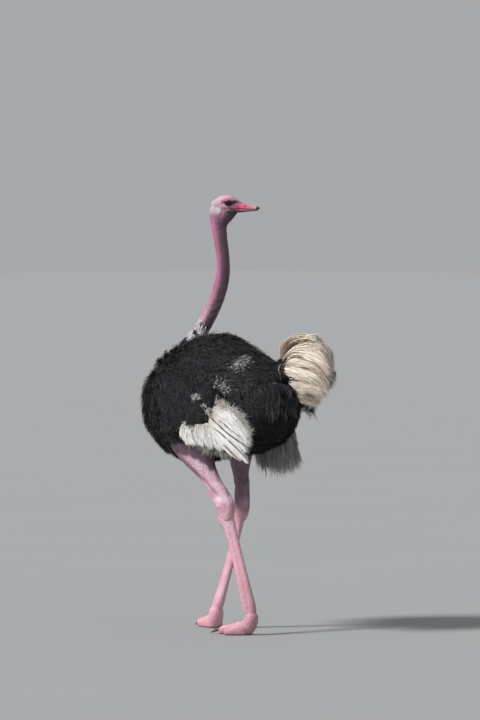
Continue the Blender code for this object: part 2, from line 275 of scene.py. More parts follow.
TRUNK = [  # from rump to breast
    (-0.360, 0, 1.120, 0.115, 0.100, 0.120),
    (-0.290, 0, 1.105, 0.185, 0.170, 0.185),
    (-0.185, 0, 1.090, 0.250, 0.238, 0.235),
    (-0.060, 0, 1.085, 0.288, 0.302, 0.255),
    (0.070, 0, 1.085, 0.300, 0.342, 0.274),
    (0.190, 0, 1.085, 0.296, 0.330, 0.290),
    (0.300, 0, 1.085, 0.264, 0.284, 0.282),
    (0.383, 0, 1.080, 0.208, 0.222, 0.226),
]
TAIL_STUMP = [
    (-0.300, 0, 1.215, 0.045, 0.045, 0.045),
    (-0.360, 0, 1.240, 0.052, 0.045, 0.050),
    (-0.430, 0, 1.262, 0.052, 0.040, 0.052),
]
WING_PADS = {
    1: ((0.215, 0.262, 1.175, 0.075), (0.130, 0.290, 1.120, 0.130), (-0.020, 0.300, 1.090, 0.130),
        (-0.150, 0.285, 1.120, 0.085)),
    -1: ((0.215, 0.262, 1.175, 0.075), (0.140, 0.290, 1.110, 0.130), (0.010, 0.300, 1.060, 0.140),
         (-0.110, 0.290, 1.070, 0.110)),
}
NECK = [  # from inside the breast up into the back of the skull: half-width, nape, throat
    (0.345, 0.008, 1.200, 0.095, 0.095, 0.095),
    (0.300, -0.012, 1.310, 0.066, 0.068, 0.070),
    (0.240, -0.033, 1.415, 0.039, 0.042, 0.042),
    (0.190, -0.057, 1.507, 0.0335, 0.0365, 0.0355),
    (0.156, -0.077, 1.597, 0.0325, 0.0355, 0.0345),
    (0.137, -0.089, 1.690, 0.0315, 0.0345, 0.0335),
    (0.136, -0.088, 1.780, 0.0315, 0.0330, 0.0325),
    (0.144, -0.082, 1.860, 0.0320, 0.0345, 0.0330),
    (0.151, -0.078, 1.925, 0.0330, 0.0390, 0.0395),
    (0.152, -0.079, 1.970, 0.0325, 0.0450, 0.0710),
    (0.150, -0.081, 2.010, 0.0305, 0.0455, 0.0940),
]
COLLAR_DEPTH = (0.030, 0.016, 0.0045) + (DOWN_DEPTH,) * 8  # of the down at each of the neck's rows
SKULL = [  # along the bill, height, half-width, over, under
    (-0.054, -0.012, 0.0300, 0.032, 0.036),
    (-0.036, -0.008, 0.0360, 0.040, 0.044),
    (-0.012, -0.005, 0.0390, 0.044, 0.048),
    (0.010, -0.007, 0.0385, 0.043, 0.044),
    (0.032, -0.012, 0.0335, 0.035, 0.034),
    (0.056, -0.016, 0.0275, 0.026, 0.024),
]
BILL_UPPER = [
    (0.046, -0.0165, 0.0270, 0.0245, 0.0085),
    (0.070, -0.0185, 0.0255, 0.0220, 0.0070),
    (0.092, -0.0205, 0.0225, 0.0180, 0.0055),
    (0.114, -0.0215, 0.0185, 0.0140, 0.0045),
    (0.136, -0.0215, 0.0140, 0.0095, 0.0035),
]
BILL_LOWER = [
    (0.040, -0.0330, 0.0255, 0.0095, 0.0110),
    (0.066, -0.0325, 0.0240, 0.0085, 0.0090),
    (0.092, -0.0310, 0.0205, 0.0075, 0.0065),
    (0.112, -0.0300, 0.0165, 0.0065, 0.0048),
    (0.132, -0.0285, 0.0115, 0.0050, 0.0034),
]
DRUM = [  # share of the way from knee to hock, bulge forward, half-width, front, back
    (0.00, 0.000, 0.075, 0.100, 0.095),
    (0.20, 0.006, 0.075, 0.094, 0.092),
    (0.38, 0.002, 0.062, 0.074, 0.082),
    (0.55, 0.000, 0.044, 0.048, 0.053),
    (0.70, -0.003, 0.035, 0.040, 0.045),
    (0.84, -0.005, 0.033, 0.041, 0.052),
    (0.95, -0.002, 0.036, 0.043, 0.053),
    (1.03, 0.003, 0.036, 0.043, 0.042),
    (1.09, 0.009, 0.031, 0.037, 0.026),
]
SHANK = [  # share of the way from hock to knuckle, and the same
    (-0.03, 0.010, 0.0200, 0.022, 0.020),
    (0.03, 0.010, 0.0310, 0.036, 0.036),
    (0.09, 0.010, 0.0300, 0.040, 0.040),
    (0.16, 0.004, 0.0240, 0.034, 0.034),
    (0.30, 0.000, 0.0190, 0.028, 0.029),
    (0.55, 0.000, 0.0190, 0.030, 0.030),
    (0.78, 0.000, 0.0210, 0.032, 0.032),
    (0.90, 0.000, 0.0260, 0.033, 0.033),
    (0.97, 0.000, 0.0260, 0.028, 0.028),
]
KNUCKLE = [  # forward and up along the foot from the knuckle's centre, half-width, front, back
    (0.000, 0.088, 0.0340, 0.033, 0.032),
    (0.004, 0.066, 0.0375, 0.037, 0.034),
    (0.014, 0.042, 0.0360, 0.036, 0.034),
    (0.026, 0.024, 0.0300, 0.032, 0.032),
]
TOE_LARGE = [  # forward, outward and up along the foot, half-width, over, under
    (0.026, -0.004, 0.044, 0.0230, 0.024, 0.030),
    (0.046, -0.005, 0.040, 0.0280, 0.029, 0.048),
    (0.066, -0.006, 0.034, 0.0285, 0.028, 0.046),
    (0.100, -0.007, 0.026, 0.0300, 0.026, 0.038),
    (0.134, -0.008, 0.023, 0.0280, 0.022, 0.033),
    (0.158, -0.008, 0.020, 0.0230, 0.018, 0.026),
]
TOE_SMALL = [
    (0.018, 0.014, 0.036, 0.0150, 0.018, 0.022),
    (0.034, 0.026, 0.032, 0.0185, 0.021, 0.038),
    (0.050, 0.036, 0.027, 0.0185, 0.020, 0.038),
    (0.080, 0.050, 0.020, 0.0180, 0.017, 0.029),
    (0.104, 0.060, 0.017, 0.0150, 0.014, 0.023),
]
NAIL = [
    (0.146, -0.008, 0.026, 0.0150, 0.0110, 0.0090),
    (0.174, -0.008, 0.022, 0.0130, 0.0095, 0.0080),
    (0.196, -0.008, 0.015, 0.0090, 0.0065, 0.0060),
    (0.212, -0.008, 0.008, 0.0045, 0.0035, 0.0035),
]
LARGE_ENDS, SMALL_ENDS, NAIL_ENDS = (0.012, 0.018), (0.010, 0.014), (0.004, 0.005)  # how far their ends dome
LEGS = {  # knee, hock and knuckle, and how far the shank curves forward
    "left": ((0.153, 0.165, 0.985), (-0.103, 0.128, 0.584), (-0.238, 0.092, 0.088), 0.0),
    "right": ((0.105, -0.165, 1.030), (0.050, -0.128, 0.575), (0.184, -0.092, 0.088), -0.010),
}


class Leg:
    """The bodies of one leg, and its own directions: ahead along the toes, and across."""

    def __init__(self, word):
        self.word = word
        self.way = 1 if word == "left" else -1
        self.knee, self.hock, self.knuckle, self.bow = LEGS[word]
        out = self.way * TOE_OUT
        self.ahead = np.array((math.sin(out), -math.cos(out), 0.0))
        self.across = np.array((math.cos(out), math.sin(out), 0.0))

    def bone(self, table, start, end, bow=0.0):
        rows = []
        for t, bulge, *sizes in table:
            f, l, z = (a + (b - a) * t for a, b in zip(start, end))
            rows.append((*at(f + bulge + bow * math.sin(math.pi * t), l, z), *sizes))
        return rows

    def step(self, forward, outward, up):
        base = at(self.knuckle[0], self.knuckle[1], 0)
        return base + self.ahead * forward + self.across * (self.way * outward) + UPWARD * up

    def thigh(self):
        return Body(self.bone(DRUM, self.knee, self.hock), self.across, (0.05, 0.018), inset=HIDE)

    def shank(self):
        return Body(self.bone(SHANK, self.hock, self.knuckle, self.bow), self.across, inset=HIDE)

    def foot(self):
        rows = [(*self.step(f, 0, z), *sizes) for f, z, *sizes in KNUCKLE]
        return Body(rows, self.across, (0.024, 0.03), inset=HIDE, floor=0.0)

    def toe(self, table, domes, inset=HIDE):
        rows = [(*self.step(f, o, z), *sizes) for f, o, z, *sizes in table]
        return Body(rows, self.across, domes, inset=inset, floor=0.0)


# ------------------------ materials

BLOTCHES = 22.0  # of the skin to a metre: each is some 45 mm across
CREASES = 260.0  # of the skin to a metre, 4 mm apart
HORN_LAYERS = 90.0  # of the bill to a metre, 11 mm apart
EYE_RAYS = 900.0  # of the iris to a metre, 1.1 mm apart
BARBULES = 160.0  # glints along a barb to a metre: real ones are far finer, and would not show


def srgb(code):
    """A hex colour as linear light."""
    parts = [int(code[i:i + 2], 16) / 255 for i in (1, 3, 5)]
    return (*(c / 12.92 if c <= 0.04045 else ((c + 0.055) / 1.055) ** 2.4 for c in parts), 1.0)


def add(tree, kind, settings=None, links=None):
    """Adds a node. A setting is a property of the node, or else the value of one of its sockets. A link comes
    from a socket, or from the first output of a node."""
    made = tree.nodes.new(kind)
    for name, value in (settings or {}).items():
        if isinstance(name, str) and hasattr(made, name):
            setattr(made, name, value)
        else:
            made.inputs[name].default_value = value
    for socket, source in (links or {}).items():
        tree.links.new(getattr(source, "outputs", [source])[0], made.inputs[socket])
    return made


def started(name, *masks):
    """A new material: its tree, its shader, the point being shaded, and the masks it reads, by name."""
    material = bpy.data.materials.new(name)
    material.use_nodes = True
    tree = material.node_tree
    point = add(tree, "ShaderNodeTexCoord").outputs["Object"]
    mask = {m: add(tree, "ShaderNodeAttribute", {"attribute_name": m}).outputs["Fac"] for m in masks}
    return material, tree, tree.nodes["Principled BSDF"], point, mask


def tinted(tree, colour, *tints):
    """A colour, or a hex code, with tints laid over it in turn, each as far as its share says."""
    for share, code in tints:
        if isinstance(colour, str):
            settings, links = {6: srgb(colour)}, {}
        else:
            settings, links = {}, {6: colour}
        colour = add(tree, "ShaderNodeMix", {"data_type": "RGBA", 7: srgb(code), **settings},
                     {0: share, **links}).outputs[2]
    return colour


def surfaced(tree, shader, colour, grain, rough, relief=None, shade=None):
    """Joins a colour to its shader. One fine grain shades it, and gives its roughness and its relief, which is
    a strength and a depth."""
    if shade:
        speckled = {"From Min": 0.3, "From Max": 0.7, "To Min": shade[0], "To Max": shade[1]}
        speck = add(tree, "ShaderNodeMapRange", speckled, {"Value": grain})
        colour = add(tree, "ShaderNodeMix", {"data_type": "RGBA", "blend_type": "MULTIPLY", 0: 1.0},
                     {6: colour, 7: speck}).outputs[2]
    tree.links.new(colour, shader.inputs["Base Color"])
    dull = add(tree, "ShaderNodeMapRange", {"To Min": rough[0], "To Max": rough[1]}, {"Value": grain})
    tree.links.new(dull.outputs["Result"], shader.inputs["Roughness"])
    if relief:
        raised = add(tree, "ShaderNodeBump", {"Strength": relief[0], "Distance": relief[1]}, {"Height": grain})
        tree.links.new(raised.outputs["Normal"], shader.inputs["Normal"])


def bare_skin():
    """Bare bird skin, thin and a little translucent: rosy on the neck and thighs, with follicle bumps 3.6 mm
    apart and finer creases, pale where down covers it, red in the gape and slate grey under the plumage.
    Painted shade darkens its folds and shadow sides, and painted highlights lie on its lit pebbles."""
    material, tree, shader, point, mask = started("bare_bird_skin", *MASKS)
    place = {"Vector": point}
    blotch = add(tree, "ShaderNodeTexNoise", {"Scale": BLOTCHES, "Detail": 4.0, "Roughness": 0.6}, place)
    fine = add(tree, "ShaderNodeTexNoise", {"Scale": CREASES, "Detail": 3.0}, place)
    cells = (("F1", 0.0036, 0.8), ("DISTANCE_TO_EDGE", 0.005, 0.7), ("F1", 0.0085, 0.9))  # and how wide one is
    follicle, scale, stone = (
        add(tree, "ShaderNodeTexVoronoi", {"feature": kind, "Scale": 1 / size, "Randomness": loose}, place)
        for kind, size, loose in cells
    )
    # painted highlights: the pebbles' round tops are paler, only where the near thigh is lit; they also give the
    # pebbles their relief
    rounded = {"From Min": 0.15, "From Max": 0.55, "To Min": 1.0, "To Max": 0.0}
    round_top = add(tree, "ShaderNodeMapRange", rounded, {"Value": stone})
    pebble = add(tree, "ShaderNodeMath", {"operation": "MULTIPLY"}, {0: round_top, 1: mask["pebbled"]})
    colour = tinted(
        # the dark purple tint is mostly painted shade, on the neck's throat side, under the jaw and on the legs'
        # shaded parts
        tree, "#7a3e60", (blotch, "#9a587c"), (mask["bright"], "#c4668f"), (mask["mauve"], "#44263c"),
        (mask["shank"], "#cf97a5"), (mask["pale"], "#d0b4c0"), (mask["lore"], "#2a1521"),
        (mask["gape"], "#a82d49"), (mask["plumed"], "#26272b"), (pebble, "#e9c6d3"),
    )
    speckled = {"From Min": 0.35, "From Max": 0.75, "To Min": 0.86, "To Max": 1.12}
    speck = add(tree, "ShaderNodeMapRange", speckled, {"Value": fine})
    # painted shade: the skin darkens in creases, folds and grooves, under the jaw and low on the near leg
    shade = add(tree, "ShaderNodeMapRange", {"To Min": 1.0, "To Max": 0.45}, {"Value": mask["hollow"]})
    both = add(tree, "ShaderNodeMath", {"operation": "MULTIPLY"}, {0: speck, 1: shade})
    colour = add(tree, "ShaderNodeMix", {"data_type": "RGBA", "blend_type": "MULTIPLY", 0: 1.0},
                 {6: colour, 7: both}).outputs[2]
    surfaced(tree, shader, colour, blotch, (0.42, 0.68))
    plate = add(tree, "ShaderNodeMapRange", {"From Max": 0.12}, {"Value": scale})
    grain = add(tree, "ShaderNodeMix", {"data_type": "FLOAT"}, {0: mask["shank"], 2: follicle, 3: plate})
    under = {}
    for height, strength, depth in ((grain, 0.45, 0.0008), (fine, 0.35, 0.0006), (pebble, 0.8, 0.0025)):
        under["Height"] = height
        relief = add(tree, "ShaderNodeBump", {"Strength": strength, "Distance": depth}, under)
        under = {"Normal": relief}
    tree.links.new(relief.outputs["Normal"], shader.inputs["Normal"])
    shader.inputs["Subsurface Weight"].default_value = 0.12
    shader.inputs["Subsurface Radius"].default_value = (1.0, 0.35, 0.25)
    shader.inputs["Subsurface Scale"].default_value = 0.004
    return material


def horn():
    """Horn of the bill, grown in thin layers and lightly polished by use: rosy at the root, straw towards the
    tip and black at the nail, with painted shade in the nostrils and under the lower half."""
    material, tree, shader, point, mask = started("bill_horn", "along", "dark", "red")
    grown = {"Scale": HORN_LAYERS, "Detail": 5.0, "Roughness": 0.6}
    layers = add(tree, "ShaderNodeTexNoise", grown, {"Vector": point})
    thin = {"From Min": 0.45, "From Max": 0.75, "To Max": 0.45}
    streak = add(tree, "ShaderNodeMapRange", thin, {"Value": layers})
    colour = tinted(tree, "#d2708c", (mask["along"], "#c9a996"), (streak, "#a85a6c"), (mask["red"], "#c03a55"),
                    (mask["dark"], "#241b1a"))
    surfaced(tree, shader, colour, layers, (0.4, 0.6), (0.3, 0.0004))
    return material


def keratin(name, light, dark, size):
    """Thick keratin of scutes and nails: dull, with fine growth lines, and worn pale where it rubs."""
    material, tree, shader, point, _ = started(name)
    place = {"Vector": point}
    growth = add(tree, "ShaderNodeTexNoise", {"Scale": 1 / size, "Detail": 6.0, "Roughness": 0.65}, place)
    patches = add(tree, "ShaderNodeTexNoise", {"Scale": 0.12 / size, "Detail": 2.0}, place)
    worn = add(tree, "ShaderNodeMapRange", {"From Min": 0.3, "From Max": 0.7}, {"Value": patches})
    surfaced(tree, shader, tinted(tree, dark, (worn, light)), growth, (0.42, 0.68), (0.4, 0.0005), (0.8, 1.1))
    return material


def wet_eye():
    """A wet eye: black pupil, deep brown iris with fine rays and a darker rim, under a clear film of tears."""
    material, tree, shader, point, mask = started("wet_eye", "rim")
    rays = add(tree, "ShaderNodeTexNoise", {"Scale": EYE_RAYS, "Detail": 3.0}, {"Vector": point})
    ramp = add(tree, "ShaderNodeValToRGB", links={"Fac": mask["rim"]})
    stops = ramp.color_ramp.elements
    for number, place in enumerate((0.3, 0.42, 0.6, 0.72)):
        stop = stops[number] if number < 2 else stops.new(place)
        stop.position, stop.color = place, srgb(("#050404", "#2c170d", "#1f100a", "#080504")[number])
    surfaced(tree, shader, ramp.outputs["Color"], rays, (0.04, 0.09), shade=(0.7, 1.25))
    shader.inputs["IOR"].default_value = 1.36
    return material


def barbs(name, deep, pale, tip, tip_share, roughness, root=None, shine=0.5):
    """Loose feather barbs, dull and soft. Each feather keeps one tone, from deep to pale, and changes to the
    root's and the tip's colours at its ends. A barb's colour flickers, as its barbules catch the light."""
    material, tree, shader, point, mask = started(name, "tone", "reach")
    flicker = add(tree, "ShaderNodeTexNoise", {"Scale": BARBULES, "Detail": 3.0}, {"Vector": point})
    colour = tinted(tree, deep, (mask["tone"], pale))
    ends = [(tip, {"From Min": 0.45, "To Max": tip_share})]
    if root:
        ends.append((root, {"From Min": 0.05, "From Max": 0.4, "To Min": 1.0, "To Max": 0.0}))
    for code, along in ends:
        colour = tinted(tree, colour, (add(tree, "ShaderNodeMapRange", along, {"Value": mask["reach"]}), code))
    surfaced(tree, shader, colour, flicker, (roughness - 0.08, roughness + 0.08), (0.25, 0.0005), (0.85, 1.12))
    shader.inputs["Specular IOR Level"].default_value = shine
    shader.inputs["Sheen Weight"].default_value = 0.3 * shine
    shader.inputs["Sheen Roughness"].default_value = 0.5
    return material


# ------------------------ the skin

MASKS = ("plumed", "pale", "shank", "gape", "lore", "mauve", "bright", "hollow", "pebbled")
LID = {"half": 0.0200, "upper": 0.0126, "lower": 0.0130}  # the eye's opening, from its centre
EAR = (-0.047, -0.033)  # along the bill and up from between the eyes
FOLDS = {  # of the head's sides, in profile: start, end, height out of the skin, and half-width
    "brow": ((-0.020, 0.0165), (0.030, 0.0125), 0.0024, 0.0048),
    "bag": ((-0.024, -0.0215), (0.034, -0.0200), 0.0016, 0.0030),
    "gape": ((0.012, -0.0275), (0.075, -0.0255), -0.0026, 0.0017),
    "jaw": ((-0.004, -0.0345), (0.060, -0.0335), 0.0014, 0.0034),
    "lore": ((0.031, 0.0050), (0.046, -0.0040), -0.0022, 0.0065),
}
LEG_TINTS = {  # painted shade on each thigh, how pale the shank and its top are, and painted shade low on the leg
    "left": {"shade": 0.88, "shank": 0.18, "hock": 0.45, "dusk": 0.9},
    "right": {"shade": 0.60, "shank": 0.5, "hock": 0.0, "dusk": 0.0},
}


def opening(x, z):
    """How far outside the eye's almond opening a place is, as a share of its height. It is below 0 inside."""
    height = np.where(z > 0, LID["upper"], LID["lower"])
    return np.abs(z) / height + (x / LID["half"]) ** 2 - 1


def along_line(h, start, end):
    """Distance from each point to a line, in the head's own profile, and the share of the way along it."""
    a, b = np.array(start), np.array(end)
    p = h[:, (0, 2)] - a
    t = np.clip(p @ (b - a) / ((b - a) @ (b - a)), 0, 1)
    return np.linalg.norm(p - t[:, None] * (b - a), axis=1), t


def spot(x, z, place, size, fade=1.0):
    """1 in the middle of an oval patch of the head, and near 0 well outside it."""
    return bump(np.hypot((x - place[0]) / size[0], (z - place[1]) / size[1]), fade)


def beside_neck(points):
    """How far each point lies from the neck's middle line towards the throat."""
    line = path_of(NECK)[0]
    return points @ BILLWARD - np.interp(points[:, 2], line[:, 2], line @ BILLWARD)


def lidded(h):
    """The head's points, with lids round both eyeballs and the skin sunk inside their opening, and how near
    each is to a fold of the lids."""
    folds = np.zeros(len(h))
    for way in (1, -1):
        middle = np.array((0, way * EYE_SPREAD, 0))
        away = h - middle
        d = np.linalg.norm(away, axis=1)
        u = away / d[:, None]
        place = opening(u[:, 0] * EYE_RADIUS, u[:, 2] * EYE_RADIUS)
        near = (u[:, 1] * way > 0.1) & (d < EYE_RADIUS + 0.016) & (h[:, 1] * way > 0)
        lid = EYE_RADIUS + 0.0019 - 0.0012 * bump(place - 0.55, 0.22) + 0.0006 * bump(place - 1.0, 0.2)
        soft = ease(0.05, 0.75, place)
        goal = np.where(place < 0, EYE_RADIUS - 0.004, lid * (1 - soft) + np.maximum(d, lid) * soft)
        h = np.where(near[:, None], middle + u * np.where(near, goal, d)[:, None], h)
        folds = np.maximum(folds, near * bump(place - 0.15, 0.35))
    return h, folds


def sculpt_head(mesh):
    """Folds, lids and hollows of the head, worked into the fused skin, and its colours."""
    points, normals = points_of(mesh), normals_of(mesh)
    h, n = moved(HEAD_BACK, points), normals @ HEAD[:3, :3]
    side, z = np.abs(h[:, 1]), h[:, 2]
    flank = ease(0.25, 0.75, np.abs(n[:, 1])) * (z > -0.075)
    move, off = np.zeros(len(h)), {}
    for name, (start, end, height, width) in FOLDS.items():
        off[name], _ = along_line(h, start, end)
        move += height * bump(off[name], width) * (ease(0.012, 0.022, side) if name == "brow" else flank)
    ear, _ = along_line(h, (-0.047, -0.024), (-0.046, -0.04))
    move += (0.0006 * bump(ear - 0.01, 0.006) - 0.001 * bump(ear, 0.006)) * flank
    crease = np.sin(z * 900 + 3 * wander(points, 0.03, 5)) * (0.5 + 0.5 * wander(points, 0.02, 6))
    move += ease(-0.035, -0.06, z) * 0.00045 * crease
    move += 0.0005 * wander(points, 0.011, 7) + 0.0003 * wander(points, 0.005, 8)
    h, lid_folds = lidded(moved(HEAD_BACK, points + normals * move[:, None]))
    points = moved(HEAD, h)
    set_points(mesh, points)
    paint_head(mesh, points, h, flank, off, lid_folds)


def paint_head(mesh, points, h, flank, off, lid_folds):
    """The masks of the head's colours, and of the neck's down to the collar. Painted shade darkens the skin
    under the jaw and down the neck's throat side.
    """
    x, z = h[:, 0], h[:, 2]
    mottle = 0.5 + 0.5 * wander(points, 0.01, 11)
    height = z + 0.42 * np.clip(-x - 0.012, 0, 1) + 0.22 * np.clip(x - 0.02, 0, 1)
    crown = ease(0.018, 0.034, height) * ease(0.066, 0.05, x)
    nape = ease(-0.018, -0.052, x) * ease(-0.075, -0.02, z)
    cheek = spot(x, z, (-0.018, -0.042), (0.034, 0.02)) * (0.45 + 0.5 * mottle)
    under_lid = bump(np.hypot(x / 0.0262, z / 0.0182) - 1, 0.11) * ease(0.002, -0.004, z)
    behind = spot(x, z, (-0.036, -0.016), (0.016, 0.014))
    front = spot(x, z, (0.036, 0.021), (0.02, 0.009))
    brow = spot(x, z, (-0.002, 0.018), (0.03, 0.01))
    rosy = ease(0.022, 0.038, x) * ease(0.004, -0.004, z - 0.3 * (x - 0.035)) * ease(-0.036, -0.028, z)
    # painted shade under the jaw and down the throat below it
    chin = ease(-0.028, -0.04, z) * ease(-0.026, 0.004, x - 0.12 * z) * ease(-0.15, -0.1, z)
    bag, ear = bump(off["bag"], 0.0035), spot(x, z, EAR, (0.012, 0.017))
    downy = [crown * 0.9, nape * 0.7, cheek * 0.75, bag * 0.45, under_lid, behind * 0.9, front * 0.9, ear]
    downy = np.maximum.reduce(downy) * (1 - 0.9 * chin) * (1 - 0.8 * rosy)
    # the dark lore and a dark oval round the eye: partly the skin's own dark, partly painted shade of the lids
    # and lashes
    dark = bump(off["lore"], 0.0105) * 0.95 + spot(x, z, (0.002, 0.0), (0.027, 0.017), 0.95) * 0.97
    dark = dark * (1 - 0.85 * rosy) * (1 - 0.8 * under_lid)
    head, high, low = ease(-0.105, -0.06, z), ease(-0.1, -0.05, z), ease(1.66, 1.42, points[:, 2])
    # the throat side of the neck, which is painted in shade
    throat = ease(-0.029, 0.001, beside_neck(points))
    streak = 0.5 + 0.5 * wander(points * np.array((1, 1, 0.35)), 0.022, 12)
    flush = 0.15 + 0.45 * streak * ease(0.2, 0.8, streak)
    slit = bump(off["gape"], 0.0028) * flank * ease(0.004, 0.014, x) * 0.95
    lid_shade = lid_folds * 0.35 * ease(-0.002, 0.003, z)
    paint(
        mesh,
        plumed=ease(1.4, 1.35, points[:, 2] + 0.012 * wander(points, 0.02, 13)),
        pale=np.clip(downy * head + 0.05 * (1 - high) * (0.4 + 0.6 * mottle)
                     + low * (0.26 + 0.32 * mottle) * (1 - 0.85 * throat), 0, 0.92),
        shank=0 * z,
        gape=np.maximum(slit, 0.22 * rosy),
        lore=np.clip(dark + 0.55 * chin, 0, 0.92) * head,
        # painted shade on the neck's throat side and under the jaw, and a little real lavender tint low on the
        # neck
        mauve=(1 - high) * (0.95 * throat + 0.15 * low) + high * 0.95 * chin,
        bright=(1 - low) * flush + head * (0.85 * brow + 0.95 * rosy),
        hollow=np.clip(bump(off["gape"], 0.0015) * flank + lid_shade + 0.45 * chin, 0, 1),
        pebbled=0 * z,
    )


def sculpt_leg(mesh, leg):
    """Tendons, creases and the knobbly hock of one leg, worked into its fused skin, and its colours, with
    painted shade and light.
    """
    points, normals = points_of(mesh), normals_of(mesh)
    hock, knuckle = at(*leg.hock), at(*leg.knuckle)
    bone = unit(knuckle - hock)
    down = (points - hock) @ bone
    long = down / np.linalg.norm(knuckle - hock)  # 0 at the hock, 1 at the knuckle
    front = unit(np.cross(bone, leg.across))
    ahead = (points - hock - bone * down[:, None]) @ front
    flat = np.abs(normals @ leg.across)
    low = ease(0.1, 0.2, long) * ease(1.0, 0.92, long)
    groove = bump(ahead + 0.004, 0.006)
    move = -0.0022 * groove * flat * low
    move += 0.0012 * bump(ahead - 0.012, 0.007) * flat * low
    hock_near = bump(long, 0.13)
    knobs = np.sin((long * 0.5 + ahead * 1.2) * 210 + 2.5 * wander(points, 0.03, 21))
    move += 0.001 * knobs * hock_near * (0.4 + 0.6 * ease(-0.005, 0.02, ahead))
    thigh = ease(0.05, -0.1, long)
    move += thigh * 0.0016 * wander(points + np.outer(down, bone) * -0.75, 0.02, 22)
    fold = np.sin((points @ unit(bone + 0.5 * front)) * 150 + 3 * wander(points, 0.06, 23))
    move += ease(0.02, -0.08, long) * ease(-0.45, -0.2, long) * 0.0011 * fold
    joints = np.sin(((points - knuckle) @ leg.ahead) * 420)
    move += ease(0.075, 0.055, points[:, 2]) * 0.0006 * joints * ease(0.0, 0.6, normals[:, 2])
    move += 0.0005 * wander(points, 0.009, 24)
    outer = unit(np.array((leg.way * 1.0, 1.0, 0.0)))
    rear = (points - at(0, 0, 0)) @ np.cross(UPWARD, outer) * leg.way  # towards the back of the outer side
    profile = np.stack([rear, 0 * rear, points[:, 2]], -1)
    outside = ease(0.1, 0.5, normals @ outer)
    tendon, t = along_line(profile, (-0.138, 0.746), (-0.05, 0.65))
    tendon = bump(tendon, 0.0065) * outside * (0.4 + 0.6 * np.sin(math.pi * t)) * thigh
    crease, _ = along_line(profile, (-0.024, 0.612), (0.004, 0.636))
    crease = bump(crease, 0.0028) * outside * (leg.way > 0)
    move -= 0.0034 * tendon + 0.002 * crease
    points = points + normals * move[:, None]
    points[:, 2] = np.maximum(points[:, 2], 0.0006)
    set_points(mesh, points)
    z = points[:, 2]
    patch = 0.5 + 0.5 * wander(points, 0.03, 25)
    # painted shade: on the near thigh above a line under the wing and along its front edge, and over the far
    # leg's upper part
    if leg.way > 0:
        line = z - 0.839 + 0.56 * np.maximum(rear + 0.195, 0) + 0.008 * wander(points, 0.03, 27)
        edge = np.interp(z, (0.589, 0.703, 0.763, 0.828), (-0.067, -0.132, -0.176, -0.241))
        back = 0.8 * ease(0.036, 0.016, rear - edge) * ease(0.71, 0.75, z)
        shaded = np.maximum(ease(-0.012, 0.012, line), back)
    else:
        shaded = ease(0.44, 0.56, z)
    tint = LEG_TINTS[leg.word]
    # the thighs are paler only outside the painted shade
    thigh_pale = (0.52 + 0.25 * patch) * thigh * (1 - tint["shade"] * shaded) * (1 - 0.6 * tendon)
    shank_pale = tint["shank"] * low * patch
    # painted shade between the hock's knobs, in the shank's groove, along the tendon and in the hock's crease
    hollow = -knobs * hock_near * 0.5 + 0.5 * groove * flat * low + 0.5 * tendon + 1.5 * crease
    paint(
        mesh,
        plumed=ease(0.865, 0.905, z + 0.02 * wander(points, 0.04, 26)),
        pale=thigh_pale + 0.24 * bump(long, 0.16) * patch + shank_pale + tint["hock"] * bump(long - 0.14, 0.1),
        shank=ease(-0.06, 0.05, long),
        gape=0.08 * bump(long - 0.02, 0.1) * patch,
        # painted shade where the foot meets the floor
        lore=0.5 * ease(0.012, 0.003, z),
        mauve=0.9 * shaded + 0.12 * thigh * (1 - patch) + 0.45 * tendon,
        # painted light: the thigh is rosier and lighter where it is not in painted shade
        bright=0.45 * thigh * (1 - shaded),
        # painted shade in the folds, and more low on the near leg towards the ground
        hollow=np.clip(hollow + tint["dusk"] * ease(0.36, 0.14, z), 0, 1) * 0.5,
        # painted highlights on the pebbles, only on the near thigh where it is lit
        pebbled=(leg.way > 0) * ease(0.72, 0.77, z) * (1 - shaded) * ease(0.2, 0.7, flat),
    )


def trunk_body(inset=COAT_DEPTH):
    return Body(on_bird(TRUNK), LEFTWARD, (0.05, 0.095), (2.0, 2.15), inset=inset)


def tail_stump(inset):
    return Body(on_bird(TAIL_STUMP), LEFTWARD, (0.03, 0.03), inset=inset)


def wing_body(side, inset):
    rows = [(f, side * (l - inset * 0.3), z, w, 0.04, 0.05) for f, l, z, w in WING_PADS[side]]
    return Body(on_bird(rows), UPWARD, (0.05, 0.05), inset=inset)


def neck_body(inset=COLLAR_DEPTH):
    inset = np.reshape(inset, (-1, 1)) if np.ndim(inset) else inset
    return Body(on_bird(NECK), np.cross(UPWARD, BILLWARD), (0.02, 0.02), inset=inset)


